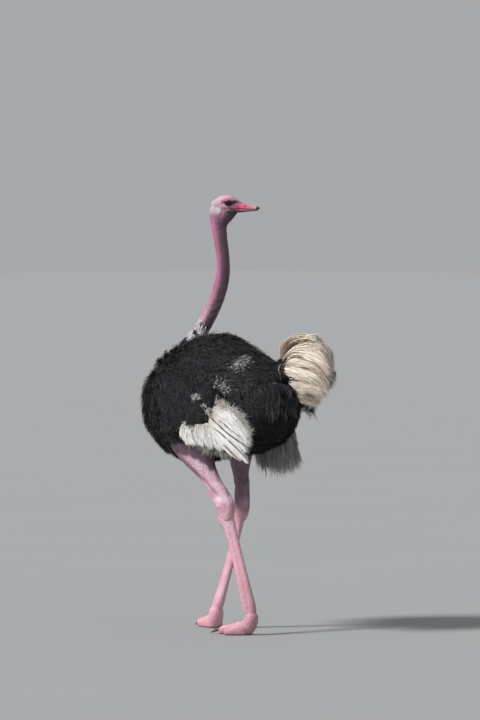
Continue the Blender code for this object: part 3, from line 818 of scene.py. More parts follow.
def build_skin(legs):
    """One closed skin of the head and neck, the trunk with its tail stump and wing pads, and both legs."""
    skull = Body(on_head(SKULL), HEAD_LEFT, (0.028, 0.012), (2.1, 2.1), inset=DOWN_DEPTH)
    head = fused("head", [skull.mesh(20, 40), neck_body().mesh(90, 40)], 0.0018, smooth=4, kept=0.43,
                 weight=lambda p: ease(1.93, 1.86, p[:, 2]))
    sculpt_head(head)
    pads = [wing_body(side, 0.036).mesh(12, 24) for side in (1, -1)]
    trunk = fused("trunk", [trunk_body().mesh(24, 48), tail_stump(0.004).mesh(8, 20), *pads], 0.011)
    paint(trunk, **{name: np.full(len(trunk.vertices), float(name == "plumed")) for name in MASKS})
    others = [head]
    for leg in legs:
        made = [leg.thigh().mesh(30, 40), leg.shank().mesh(40, 32), leg.foot().mesh(12, 32),
                leg.toe(TOE_LARGE, LARGE_ENDS).mesh(20, 28), leg.toe(TOE_SMALL, SMALL_ENDS).mesh(16, 24)]
        others.append(fused("leg_" + leg.word, made, 0.003, kept=0.37))
        sculpt_leg(others[-1], leg)
    skin = put("skin", trunk)
    helpers = [put("welded", other) for other in others]
    for helper in helpers:
        weld = skin.modifiers.new("weld", "BOOLEAN")
        weld.operation, weld.solver, weld.object = "UNION", "MANIFOLD", helper
    mesh = settled(skin)
    for helper in helpers:
        bpy.data.objects.remove(helper)
    mesh.shade_smooth()
    return put("skin", mesh)


# ------------------------ eyes, bill, nails and scutes

def repeated_tree():
    """Sets one piece at every point, turned by the point's "turn" and sized by its "size"."""
    tree = bpy.data.node_groups.new("one_at_each_point", "GeometryNodeTree")
    tree.is_modifier = True
    face = tree.interface
    for name, kind in (("Points", "Geometry"), ("Piece", "Object"), ("Size", "Float"), ("Finish", "Material")):
        face.new_socket(name, in_out="INPUT", socket_type="NodeSocket" + kind)
    face.new_socket("Pieces", in_out="OUTPUT", socket_type="NodeSocketGeometry")
    given = add(tree, "NodeGroupInput").outputs
    turn, size = (add(tree, "GeometryNodeInputNamedAttribute", {"data_type": "FLOAT_VECTOR", "Name": name})
                  for name in ("turn", "size"))
    scaled = add(tree, "ShaderNodeVectorMath", {"operation": "SCALE"}, {0: size, "Scale": given["Size"]})
    model = add(tree, "GeometryNodeObjectInfo", links={"Object": given["Piece"]}).outputs["Geometry"]
    copies = add(tree, "GeometryNodeInstanceOnPoints", links={
        "Points": given["Points"], "Instance": model, "Rotation": turn, "Scale": scaled})
    real = add(tree, "GeometryNodeRealizeInstances", links={"Geometry": copies})
    finished = add(tree, "GeometryNodeSetMaterial", links={"Geometry": real, "Material": given["Finish"]})
    add(tree, "NodeGroupOutput", links={"Pieces": finished})
    return tree


def repeated(name, tree, model, places, turns, sizes, material, size=1.0):
    """A copy of the model at each place. turns are matrices, whose columns are the model's own directions."""
    mesh = bpy.data.meshes.new(name)
    mesh.from_pydata(np.asarray(places).tolist(), [], [])
    for attribute, values in (("turn", [Matrix(m).to_euler() for m in turns]), ("size", sizes)):
        layer = mesh.attributes.new(attribute, "FLOAT_VECTOR", "POINT")
        layer.data.foreach_set("vector", np.asarray(values, np.float32).ravel())
    obj = put(name, mesh)
    maker = obj.modifiers.new("copies", "NODES")
    maker.node_group = tree
    given = {"Piece": model, "Size": size, "Finish": material}
    for socket in tree.interface.items_tree:
        if socket.name in given:
            maker[socket.identifier] = given[socket.name]
    made = settled(obj)
    for attribute in ("turn", "size"):
        if attribute in made.attributes:
            made.attributes.remove(made.attributes[attribute])
    made.shade_smooth()
    return put(name, made)


def eyeball(way):
    """A ball whose cornea stands a little proud, with each point's angle from its axis as "rim"."""
    data = bmesh.new()
    bmesh.ops.create_uvsphere(data, u_segments=64, v_segments=48, radius=1)
    mesh = bpy.data.meshes.new("eye")
    data.to_mesh(mesh)
    data.free()
    axis = unit(np.array((0.1, way, 0.02)))
    points = unit(points_of(mesh))
    angle = np.arccos(np.clip(points @ axis, -1, 1))
    paint(mesh, rim=angle / 1.2)
    radius = (EYE_RADIUS - 0.0006) * (1 + 0.022 * ease(0.75, 0.45, angle))
    set_points(mesh, moved(HEAD, np.array((0, way * EYE_SPREAD, 0)) + points * radius[:, None]))
    mesh.shade_smooth()
    return mesh


def lid_curve(way, count, lift):
    """Points round the rim of the lids in the head's frame, from the front corner over the top and back."""
    a = np.linspace(0, math.tau, count, endpoint=False)
    x = LID["half"] * np.cos(a)
    share = 1 - (x / LID["half"]) ** 2
    z = np.where(np.sin(a) > 0, LID["upper"], -LID["lower"]) * share
    radius = EYE_RADIUS + lift
    y = np.sqrt(radius**2 - x**2 - z**2)
    return np.stack([x, way * (EYE_SPREAD + y), z], -1), a


def tube(path, radius):
    """(points, faces) of a closed ring of round cord along the path."""
    sides = 8
    ahead = unit(np.roll(path, -1, 0) - np.roll(path, 1, 0))
    middle = path.mean(0)
    out = unit(path - middle)
    across = unit(np.cross(ahead, out))
    out = np.cross(across, ahead)
    a = np.linspace(0, math.tau, sides, endpoint=False)
    grid = path[:, None] + np.reshape(radius, (-1, 1, 1)) * (
        np.cos(a)[None, :, None] * out[:, None] + np.sin(a)[None, :, None] * across[:, None])
    grid = grid.reshape(-1, 3)
    return grid, [[v % len(grid) for v in face] for face in ring_faces(len(path) + 1, sides)]


def outwards(mesh):
    """Turns all the faces of closed shells outwards."""
    data = bmesh.new()
    data.from_mesh(mesh)
    bmesh.ops.recalc_face_normals(data, faces=data.faces)
    data.to_mesh(mesh)
    data.free()
    return mesh


def build_eyes(tree):
    """The eyeballs, the bare rims of their lids, and a row of bristly lashes along each upper lid."""
    wet, rim_skin = wet_eye(), keratin("bare_lid_rim", "#8d5a70", "#5a3044", 0.0016)
    lash = keratin("lash_bristle", "#2a2220", "#0d0a0a", 0.002)
    dice = np.random.default_rng(31)
    model = bristle_model()
    for word, way in (("left", 1), ("right", -1)):
        piece(put("eyeball_" + word, eyeball(way)), "eye_dark", wet, "eye_" + word)
        path, a = lid_curve(way, 72, 0.0009)
        rim = outwards(mesh_of("rim", *tube(moved(HEAD, path), 0.001 + 0.0003 * np.sin(a))))
        piece(put("lid_rim_" + word, rim), "skin_pink", rim_skin)
        path, _ = lid_curve(way, 400, 0.0016)
        picks = np.sort(dice.uniform(0.1 * math.pi, 0.93 * math.pi, 46))
        places, turns, sizes = [], [], []
        for root in path[(picks / math.tau * len(path)).astype(int)]:
            out = unit(root - np.array((0, way * EYE_SPREAD, 0)))
            lean = np.array((0.9 * root[0] / LID["half"] + 0.1, 0, -0.15))
            reach = unit(out + lean + dice.normal(0, 0.1, 3))
            side = unit(np.cross(FALL, reach))
            turns.append(HEAD[:3, :3] @ np.stack([side, np.cross(reach, side), reach], -1))
            long = 0.01 + 0.005 * math.sin(picks[0]) + dice.uniform(0, 0.003)
            sizes.append((0.0007, long, long))
            places.append(moved(HEAD, root))
        lashes = repeated("lashes_" + word, tree, model, places, turns, sizes, lash)
        piece(lashes, "plumage_black", lash)
    bpy.data.objects.remove(model)


def bristle_model():
    """A tapering bristle one unit long, that bows up along its own Y."""
    t = np.linspace(0, 1, 5)
    a = np.linspace(0, math.tau, 4, endpoint=False)
    width = (1 - t) ** 0.6 * 0.5
    points = []
    for share, w in zip(t[:-1], width):
        for angle in a:
            points.append((w * math.cos(angle), 0.05 * w * math.sin(angle) + 0.35 * share**2, share))
    points.append((0, 0.35, 0.94))
    faces = ring_faces(4, 4) + [(12 + k, 12 + (k + 1) % 4, 16) for k in range(4)] + [(3, 2, 1, 0)]
    return put("bristle_model", mesh_of("bristle_model", points, faces))


def build_bill():
    """Both halves of the bill, with the flat ridge, the nostril grooves and the nail at the tip."""
    finish = horn()
    upper = Body(on_head(BILL_UPPER), HEAD_LEFT, (0.01, 0.014), (2.3, 4.0), inset=0.0004)
    lower = Body(on_head(BILL_LOWER), HEAD_LEFT, (0.01, 0.012), (4.0, 2.3), inset=0.0004)
    for word, body in (("upper", upper), ("lower", lower)):
        mesh = mesh_of("bill_" + word, *body.mesh(70, 80, caps=9))
        points, normals = points_of(mesh), normals_of(mesh)
        h, n = moved(HEAD_BACK, points), normals @ HEAD[:3, :3]
        x, y, z = h.T
        ragged = wander(points * np.array((1, 1, 2.5)), 0.006, 41)
        if word == "upper":
            across = bump(np.abs(y) - 0.0125 + 0.06 * (x - 0.06), 0.0025)
            groove = across * ease(0.05, 0.06, x) * ease(0.104, 0.09, x)
            hole, t = along_line(h, (0.069, -0.009), (0.087, -0.013))
            nostril = bump(hole / (0.25 + 0.85 * np.sin(math.pi * t)), 0.002) * ease(0.2, 0.6, np.abs(n[:, 1]))
            move = 0.0008 * bump(np.abs(y), 0.006) * ease(0.1, 0.6, n[:, 2])
            move -= 0.0016 * groove * ease(-0.2, 0.3, n[:, 2])
            move -= 0.003 * nostril
            move += 0.0007 * (ease(0.128, 0.132, x) * ease(-0.2, 0.4, n[:, 2]))
            # the black in the nostril slits is painted shade
            straw, lip, black = 0.85, 0.5 * bump(z + 0.0265, 0.004), nostril * 1.2
        else:
            # the black under the lower half, where it faces down, is painted shade
            move, straw, lip, black = 0, 0.35, 0, 0.8 * ease(0.3, -0.3, n[:, 2])
        set_points(mesh, points + normals * (move + 0.00018 * ragged)[:, None])
        paint(
            mesh,
            along=ease(0.088, 0.13, x) * straw,
            red=np.clip(ease(0.08, 0.05, x) * 0.35 + lip, 0, 0.8) * ease(0.125, 0.1, x),
            dark=np.clip(np.maximum(black, ease(0.128, 0.135, x + 0.001 * ragged)), 0, 0.95),
        )
        piece(put("horn_of_bill_" + word, mesh), "horn_rose", finish, "bill_" + word)


def plate_model():
    """One scute: an arc of a unit circle, one unit long along its Z, whose lower edge stands off the skin."""
    span, arcs = math.radians(56), 8
    base = 0.955
    profile = [(-0.52, base), (-0.5, 1.01), (-0.2, 1.03), (0.25, 1.045), (0.5, 1.05), (0.54, 1.02), (0.5, base)]
    points = []
    for i in range(arcs + 1):
        a = math.pi / 2 - span + 2 * span * i / arcs
        edge = ease(0.0, 0.16, min(i, arcs - i) / arcs)
        for z, r in profile:
            r = base + (r - base) * float(0.35 + 0.65 * edge)
            z *= float(0.8 + 0.2 * edge)
            points.append((r * math.cos(a), r * math.sin(a), z))
    m = len(profile)
    faces = ring_faces(arcs + 1, m) + [tuple(range(m)), tuple(reversed(range(arcs * m, arcs * m + m)))]
    return put("plate_model", outwards(mesh_of("plate_model", points, faces)))


def plates_along(body, start, end, pitch):
    """Places, turns and sizes of scutes set along a body's over side, each reaching round its section."""
    t = np.linspace(start, end, 400)
    line = body.place(t, np.full(400, math.pi / 2))
    run = np.concatenate([[0], np.cumsum(np.linalg.norm(np.diff(line, axis=0), axis=1))])
    count = int(run[-1] / pitch)
    picks = np.interp((np.arange(count) + 0.5) * run[-1] / count, run, t)
    row, onwards, side, over = body.section(picks, 0.004)
    turns = np.stack([side, over, onwards], -1)
    sizes = np.stack([row[:, 3], row[:, 4], np.full(count, pitch * 1.06)], -1)
    return row[:, :3], turns, sizes


def build_scutes(tree, legs):
    """The overlapping scutes down the front of each shank, foot and toe, and the nail of each large toe."""
    finish = keratin("shank_scute", "#d9aeb4", "#b9828d", 0.0022)
    nail_finish = keratin("toe_nail", "#6b5850", "#2b211e", 0.0016)
    model = plate_model()
    for leg in legs:
        rows = (  # each body, the stretch of it that has scutes, and how far apart they are
            (leg.shank(), 0.26, 0.97, 0.0125), (leg.foot(), 0.1, 0.6, 0.01),
            (leg.toe(TOE_LARGE, LARGE_ENDS), 0.3, 0.985, 0.0085),
            (leg.toe(TOE_SMALL, SMALL_ENDS), 0.45, 0.985, 0.0075),
        )
        places, turns, sizes = (np.concatenate(v) for v in zip(*(plates_along(*row) for row in rows)))
        scutes = repeated("scutes_" + leg.word, tree, model, places, turns, sizes, finish)
        piece(scutes, "skin_shank", finish)
        mesh = mesh_of("nail", *leg.toe(NAIL, NAIL_ENDS, inset=0.0003).mesh(40, 28, caps=6))
        points, normals = points_of(mesh), normals_of(mesh)
        ridges = np.sin(((points - at(*leg.knuckle)) @ leg.ahead) * 1500) * 0.00012
        points = points + normals * (ridges + 0.0002 * wander(points, 0.006, 51))[:, None]
        points[:, 2] = np.maximum(points[:, 2], 0.0004)
        set_points(mesh, points)
        piece(put("nail_" + leg.word, mesh), "horn_dark", nail_finish, "claw_" + leg.word)
    bpy.data.objects.remove(model)


# ------------------------ plumage

def ribbons(places, across, widths):
    """Points and triangles of tapering ribbons. places is (n, k, 3), and a ribbon's last place is its tip."""
    n, k = places.shape[:2]
    half = across * (widths / 2)[..., None]
    both = np.stack([(places - half)[:, :-1], (places + half)[:, :-1]], 2).reshape(n, 2 * (k - 1), 3)
    points = np.concatenate([both, places[:, -1:]], 1)
    one = []
    for i in range(k - 2):
        one += [(2 * i, 2 * i + 1, 2 * i + 3), (2 * i, 2 * i + 3, 2 * i + 2)]
    one.append((2 * k - 4, 2 * k - 3, 2 * k - 2))
    size = 2 * k - 1
    triangles = np.array(one)[None] + (np.arange(n) * size)[:, None, None]
    return points.reshape(-1, 3), triangles.reshape(-1, 3)


def sampled(curve, share):
    """Values of (n, steps + 1, 3) curves at shares (n, m) of their length."""
    steps = curve.shape[1] - 1
    along = np.clip(share, 0, 1) * steps
    i = np.minimum(along.astype(int), steps - 1)
    u = (along - i)[..., None]
    rows = np.arange(len(curve))[:, None]
    return curve[rows, i] * (1 - u) + curve[rows, i + 1] * u


def through(places, steps):
    """Smooth spines through (n, k, 3) places."""
    n, k = places.shape[:2]
    rows = places.transpose(1, 0, 2).reshape(k, -1)
    return spline(rows, np.linspace(0, 1, steps + 1)).reshape(steps + 1, n, 3).transpose(1, 0, 2)


def at_corners(values):
    """Values at a ribbon's places, as they fall on its corners: two at each place, and one at its tip."""
    return np.repeat(values, 2, -1)[..., :-1]


def tones(middle, spread, n, dice):
    """A tone for each of n feathers, from 0, its deepest, to 1."""
    return np.clip(middle + spread * dice.normal(size=n), 0, 1)


def vane(spine, out, roll, dice):
    """Each shaft's own directions: onwards, across its vane, and out of it. The vane is rolled a little."""
    ways = unit(np.gradient(spine, axis=1))
    out = out if out.ndim == 3 else np.repeat(out[:, None], spine.shape[1], 1)
    across = laid(ways, np.cross(out, ways) + roll * dice.normal(size=(len(spine), 1, 3)))
    return ways, across, np.cross(ways, across)


def laid(out, way):
    """A direction, pressed flat onto the surface that faces out."""
    return unit(way - (way * out).sum(-1, keepdims=True) * out)


def turned(way, out, angle):
    """A direction on a surface, turned about the way it faces."""
    return way * np.cos(angle)[:, None] + np.cross(out, way) * np.sin(angle)[:, None]


def flowing(inner, outer, t, a, flow, length, steps, lift, held=1.0):
    """Spines that follow a flow over a body while they rise from its inner to its outer surface, and the way
    they face. flow gives the way at (place, outward way, t). Past held, a share of the length, they are free."""
    spine, faces, e = [], [], 1e-3
    for k in range(steps + 1):
        if k / steps > held:
            ahead = unit(spine[-1] - spine[-2]) + (0.35 * FALL - 0.42 * out) * (1 - held)
            spine.append(spine[-1] + unit(ahead) * (length / steps)[:, None])
            faces.append(out)
            continue
        low, high, out = inner.place(t, a), outer.place(t, a), outer.outward(t, a)
        share = (lift * (k / steps) ** 0.75)[:, None]
        spine.append(low * (1 - share) + high * share)
        faces.append(out)
        way = flow(high, out, t)
        along = (outer.place(t + e, a) - outer.place(t - e, a)) / (2 * e)
        around = (outer.place(t, a + e) - outer.place(t, a - e)) / (2 * e)
        aa, bb, ab = (along**2).sum(1), (around**2).sum(1), (along * around).sum(1)
        p, q = (way * along).sum(1), (way * around).sum(1)
        stride = length / steps / np.maximum(aa * bb - ab**2, 1e-9)
        t = np.clip(t + stride * (p * bb - q * ab), -0.97, 1.97)
        a = a + np.clip(stride * (q * aa - p * ab), -0.5, 0.5)
    return np.stack(spine, 1), np.stack(faces, 1)


class Coat:
    """Gathers feathers and makes pieces of them, none with more triangles than most."""

    most = 190000

    def __init__(self, name, slot, finish):
        self.name, self.slot, self.finish, self.batches = name, slot, finish, []

    def grow(self, spine, out, width, tone, unwrap, kind, dice):
        """Adds feathers. spine is each one's shaft, out the way its vane faces, width its longest barb, and
        unwrap its root's place on the flattened skin."""
        n, steps = spine.shape[0], spine.shape[1] - 1
        count, parts, grown = kind["barbs"], 2, np.linspace(0, 1, steps + 1)
        ways, across, face = vane(spine, out, 0.2, dice)
        made = [ribbons(spine, across, kind["shaft"] * (1 - 0.8 * grown)[None] * np.ones((n, 1)))]
        share = [at_corners(grown)[None] * np.ones((n, 1))]
        sideways = [np.zeros((n, 2 * steps + 1))]
        base = np.tile(np.linspace(0.1, 0.985, count), 2)[None]
        place = np.clip(base + dice.uniform(-0.6, 0.6, (n, 2 * count)) / count, 0.02, 0.995)
        way = np.repeat((-1.0, 1.0), count)[None] * np.ones((n, 1))
        start, ahead = sampled(spine, place), unit(sampled(ways, place))
        aside, up = unit(sampled(across, place)), unit(sampled(face, place))
        wide, narrow = kind["sweep"]
        angle = np.radians(wide + (narrow - wide) * place) + dice.normal(0, kind["stray"], place.shape)
        lean = dice.normal(kind["lift"], kind["ragged"], place.shape)
        angle, turn, lean = np.cos(angle)[..., None], (np.sin(angle) * way)[..., None], lean[..., None]
        barb = unit(angle * ahead + turn * aside + lean * up)
        fullness = np.sin(math.pi * np.clip(0.1 + 0.86 * place, 0, 1) ** 0.8)
        long = width[:, None] * (0.25 + 0.75 * fullness) * dice.uniform(0.65, 1.15, place.shape)
        path, now = [start], barb
        for _ in range(parts):
            path.append(path[-1] + now * (long / parts)[..., None])
            drop = kind["droop"] * (FALL + 0.5 * ahead) + kind["curl"] * dice.normal(size=now.shape)
            now = unit(now + drop / parts)
        path = np.stack(path, 2).reshape(n * 2 * count, parts + 1, 3)
        flat = unit(np.cross(barb, up + kind["twist"] * dice.normal(size=up.shape))).reshape(-1, 1, 3)
        taper = np.linspace(1, 0.55, parts + 1)[None] * kind["thick"]
        made.append(ribbons(path, flat, taper * dice.uniform(0.7, 1.2, (len(path), 1))))
        grown = at_corners(np.arange(parts + 1)) / parts
        share.append((place[..., None] + 0.25 * grown).reshape(n, -1))
        sideways.append((way[..., None] * grown).reshape(n, -1))
        self.gather(made, share, sideways, n, tone, unwrap)

    def comb(self, spine, out, width, tone, unwrap, kind, dice):
        """Adds silky plumes, whose long barbs lie side by side along the shaft. width is half the vane's."""
        n, count, parts = len(spine), kind["strands"], 4
        _, across, face = vane(spine, out, kind["roll"], dice)
        side = np.sort(dice.uniform(-1, 1, (n, count)), axis=1)
        start = dice.uniform(-0.15, 0.8, (n, count)).clip(0)
        end = np.minimum(start + kind["span"] * dice.uniform(0.6, 1.3, (n, count)), 1)
        end = end * (1 - kind["blunt"] * side**2) * dice.uniform(0.88, 1.0, (n, count))
        start = np.minimum(start, end - 0.12)
        grown = np.linspace(0, 1, parts + 1)
        along = (start[..., None] + (end - start)[..., None] * grown).reshape(n, -1)
        outline = 0.3 + 0.7 * np.sin(math.pi * np.clip(0.06 + 0.8 * along, 0, 1)) ** 0.8
        outline = outline * np.sqrt(np.clip(1.02 - along**5, 0, 1))
        v = np.repeat(side, parts + 1, 1)
        fray = np.tile(grown**2, count)[None]
        loose = dice.normal(size=(2, n, count)).repeat(parts + 1, 2)
        aside = v * width[:, None] * outline + kind["stray"] * loose[0] * fray
        raised = kind["crown"] * width[:, None] * (1 - v**2) + kind["ragged"] * loose[1] * fray
        raised = raised + 0.0015 * dice.normal(size=(n, count)).repeat(parts + 1, 1)
        flat = unit(sampled(across, along))
        path = sampled(spine, along) + flat * aside[..., None] + unit(sampled(face, along)) * raised[..., None]
        path = (path + FALL * (kind["droop"] * fray * along)[..., None]).reshape(n * count, parts + 1, 3)
        flat = flat.reshape(n * count, parts + 1, 3)
        flat = unit(flat + kind["twist"] * dice.normal(size=(n * count, 1, 3)))
        taper = np.array((0.75, 1.0, 1.0, 0.8, 0.0))[None] * kind["thick"]
        made = ribbons(path, flat, taper * dice.uniform(0.7, 1.25, (n * count, 1)))
        share, sideways = (at_corners(s.reshape(n, count, parts + 1)).reshape(n, -1) for s in (along, v))
        self.gather([made], [share], [sideways], n, tone, unwrap)

    def lay(self, path, face, thick, reach, tone, unwrap):
        """Adds single strands, each along its own path and flat to the way it faces."""
        across = unit(np.cross(face, unit(np.gradient(path, axis=1))))
        share = at_corners(reach)
        self.gather([ribbons(path, across, thick)], [share], [0 * share], len(path), tone, unwrap)

    def strands(self, root, way, out, length, width, tone, unwrap):
        """Adds single bristles, which leave the skin along out and end along way."""
        n = len(root)
        middle = root + unit(way + 0.9 * out) * (length * 0.5)[:, None]
        path = np.stack([root, middle, middle + unit(way + 0.15 * out) * (length * 0.5)[:, None]], 1)
        aside = unit(np.cross(out, way))[:, None]
        made = [ribbons(path, aside, width[:, None] * np.array((1.0, 0.8, 0.2))[None])]
        share = [np.array((0.0, 0.0, 0.5, 0.5, 1.0))[None] * np.ones((n, 1))]
        self.gather(made, share, [np.zeros((n, 5))], n, tone, unwrap)

    def gather(self, made, share, sideways, n, tone, unwrap):
        """Keeps n feathers: their ribbons, and each corner's share of the way along and across."""
        sizes = [len(points) for points, _ in made]
        triangles = np.concatenate([f + s for (_, f), s in zip(made, np.cumsum([0] + sizes))])
        owner = np.concatenate([np.repeat(np.arange(n), size // n) for size in sizes])
        reach, aside = (np.concatenate([v.ravel() for v in values]) for values in (share, sideways))
        reach = np.clip(reach, 0, 1)
        patch = unwrap[owner] + 0.0015 * np.stack([aside, 2 * reach - 1], -1)
        points = np.concatenate([points for points, _ in made])
        self.batches.append((points, triangles, owner[triangles[:, 0]], tone[owner], reach, patch))

    def pieces(self, *nodes):
        """Makes the pieces, whole feathers to each."""
        made, held, load = [], [], 0
        for points, triangles, owner, tone, reach, patch in self.batches:
            order = np.argsort(owner, kind="stable")
            triangles, owner = triangles[order], owner[order]
            each = len(owner) / (owner.max() + 1)
            start = 0
            while start <= owner.max():
                room = int((self.most - load) / each)
                if room < 1:
                    made.append(held)
                    held, load = [], 0
                    continue
                kept = triangles[(owner >= start) & (owner < start + room)]
                used, index = np.unique(kept, return_inverse=True)
                held.append((points[used], index.reshape(-1, 3), tone[used], reach[used], patch[used]))
                load += len(kept)
                start += room
        made.append(held)
        for number, held in enumerate(made, 1):
            shift = np.cumsum([0] + [len(part[0]) for part in held])
            held = [(p, f + s, *rest) for (p, f, *rest), s in zip(held, shift)]
            points, triangles, tone, reach, patch = (np.concatenate(v) for v in zip(*held))
            name = self.name if len(made) == 1 else f"{self.name}_{number}"
            obj = put(name, triangle_mesh(name, points, triangles, patch))
            paint(obj.data, tone=tone, reach=reach)
            piece(obj, self.slot, self.finish, *(nodes if number == 1 else ()))


def triangle_mesh(name, points, triangles, patch):
    mesh = bpy.data.meshes.new(name)
    mesh.vertices.add(len(points))
    mesh.vertices.foreach_set("co", points.astype(np.float32).ravel())
    mesh.loops.add(triangles.size)
    mesh.loops.foreach_set("vertex_index", triangles.astype(np.int32).ravel())
    mesh.polygons.add(len(triangles))
    mesh.polygons.foreach_set("loop_start", np.arange(0, triangles.size, 3, dtype=np.int32))
    mesh.update(calc_edges=True)
    layer = mesh.uv_layers.new(name="OFBake")
    layer.data.foreach_set("uv", np.clip(patch[triangles.ravel()], 0, 1).astype(np.float32).ravel())
    return mesh


def roots(body, spacing, start, end, dice):
    """Roots in staggered rows over a body: t, a, place, outward way, and place on its flattened skin."""
    t = np.linspace(start, end, 240)
    line = np.stack([body.place(t, np.full(240, a)) for a in (0.3, 1.9, 3.4, 5.0)])
    run = np.concatenate([[0], np.cumsum(np.linalg.norm(np.diff(line, axis=1), axis=2).max(0))])
    rows = max(2, int(run[-1] / (spacing * 0.87)))
    found, sweep = [], np.linspace(0, math.tau, 65)  # found holds each row's (t, a)
    for i, ti in enumerate(np.interp((np.arange(rows) + 0.5) * run[-1] / rows, run, t)):
        ring = body.place(np.full(65, ti), sweep)
        girth = np.concatenate([[0], np.cumsum(np.linalg.norm(np.diff(ring, axis=0), axis=1))])
        count = int(girth[-1] / spacing)
        where = (np.arange(count) + 0.5 * (i % 2)) / max(count, 1) * girth[-1]
        where = where + dice.normal(0, spacing * 0.3, count)
        a = np.interp(where % girth[-1], girth, sweep)
        found.append(np.stack([np.full(count, ti) + dice.normal(0, 0.3 * (end - start) / rows, count), a], -1))
    t, a = np.clip(np.concatenate(found), (-0.97, -10), (1.97, 10)).T
    flattened = np.stack([0.02 + 0.96 * a / math.tau, 0.02 + 0.96 * (t + 1) / 3], -1)
    return t, a, body.place(t, a), body.outward(t, a), flattened


def within(body, points, margin=0.0):
    """Which points are inside a body, or nearer to it than margin."""
    t = np.linspace(0, 1, 60)
    nearest = np.linalg.norm(points[:, None] - spline(body.rows, t)[None, :, :3], axis=2).argmin(1)
    row, onwards, side, over = body.section(t[nearest], 0.01)
    away = points - row[:, :3]
    x = (away * side).sum(1) / (row[:, 3] + margin)
    y = (away * over).sum(1)
    y = y / np.where(y > 0, row[:, 4] + margin, row[:, 5] + margin)
    beside = np.abs((away * onwards).sum(1)) < 0.03 + margin  # and not past its ends
    return (x**2 + y**2 < 1) & beside


BLACK = ("#0f1115", "#1e2127", "#2c2a28")  # plumage: deep, pale, and at the tips, lighter and warmer as a painted sheen
FEATHER = ("barbs", "sweep", "droop", "ragged", "thick", "stray", "twist", "curl", "lift", "shaft")
BODY_FEATHER, SHORT = (dict(zip(FEATHER, row)) for row in (
    (11, (44, 14), 0.12, 0.10, 0.0026, 0.16, 0.30, 0.08, 0.02, 0.0014),
    (15, (42, 14), 0.15, 0.16, 0.0012, 0.20, 0.40, 0.10, 0.04, 0.0008),
))
WING_SIDE = 0.19  # the folded wings lie further than this from the middle
FLECKS = (  # where white down shows through the black: forward, left, up, reach, and its turn from the lie
    (-0.183, 0.158, 1.263, 0.013, 25), (-0.185, 0.130, 1.281, 0.016, 25), (-0.186, 0.100, 1.294, 0.014, 25),
    (-0.183, 0.074, 1.304, 0.010, 25), (-0.160, 0.235, 1.191, 0.014, 70), (-0.179, 0.239, 1.160, 0.012, 70),
    (-0.196, 0.271, 1.133, 0.014, 70), (-0.180, 0.292, 1.173, 0.008, 70), (-0.093, 0.332, 1.134, 0.012, -5),
    (-0.112, 0.330, 1.116, 0.010, -5), (0.149, 0.254, 0.921, 0.012, 20), (-0.345, 0.060, 1.225, 0.014, 0),
    (-0.352, 0.052, 1.180, 0.020, 0), (-0.362, 0.045, 1.140, 0.018, 0), (-0.185, -0.130, 1.281, 0.016, -25),
    (-0.180, -0.285, 1.150, 0.014, -60),
)


def plumage_flow(swing):
    """The lie of the body plumage: along the back, down and back over the flanks, straight down the breast."""

    def flow(place, out, t):
        front = ease(0.62, 1.25, t)
        up, under = np.clip(out[:, 2], 0, 1), np.clip(-out[:, 2], 0, 1)
        fall = 0.62 * (1 - up) * (1 - under) + 0.9 * front
        lie = laid(out, BACK * (1 - 0.55 * front)[:, None] + FALL * fall[:, None])
        return turned(lie, out, 0.38 * wander(place, 0.11, 62) + swing)

    return flow


def fleck(white, outer, t, a, flat, dice):
    """Tufts of white down between the feathers of one surface, where FLECKS says."""
    shown = outer.place(t, a)
    for forward, left, up, reach, swing in FLECKS:
        near = np.linalg.norm(shown - at(forward, left, up), axis=1) < reach
        hairs = np.repeat(np.flatnonzero(near), 16)
        n = len(hairs)
        if not n:
            continue
        shaken = dice.normal(0, (0.024, 0.06), (n, 2))
        place = outer.place(t[hairs] + shaken[:, 0], a[hairs] + shaken[:, 1])
        out = outer.outward(t[hairs], a[hairs])
        way = plumage_flow(math.radians(swing) + 0.45 * dice.normal(size=n))(place, out, t[hairs])
        white.strands(place + out * 0.004, way, out * 0.25, dice.uniform(0.006, 0.02, n),
                      dice.uniform(0.0004, 0.001, n), dice.uniform(0.3, 1.0, n), flat[hairs])


def rump_tuft(coat, dice):
    """Loose black plumes that hang from the rump, under the tail."""
    n = 46
    turn = np.radians(dice.uniform(-80, 80, n))
    shift = np.stack([0.075 * np.sin(turn), 0.02 * np.cos(turn), dice.uniform(-0.06, 0.03, n)], -1)
    root = at(-0.345, 0, 1.15) + shift
    away = np.stack([0.38 * np.sin(turn), np.cos(turn), np.full(n, -0.05)], -1)
    long = dice.uniform(0.15, 0.205, n)[:, None]
    tip = root + away * long * 0.85 + FALL * long * dice.uniform(0.2, 0.45, (n, 1))
    spine = through(np.stack([root, root + away * long * 0.5, tip], 1), 8)
    tone = tones(0.4, 0.2, n, dice)
    flat = np.stack([0.5 + 0.3 * np.sin(turn), np.full(n, 0.05)], -1)
    coat.comb(spine, unit(away + 0.6 * UPWARD), np.full(n, 0.026), tone, flat, LOOSE, dice)


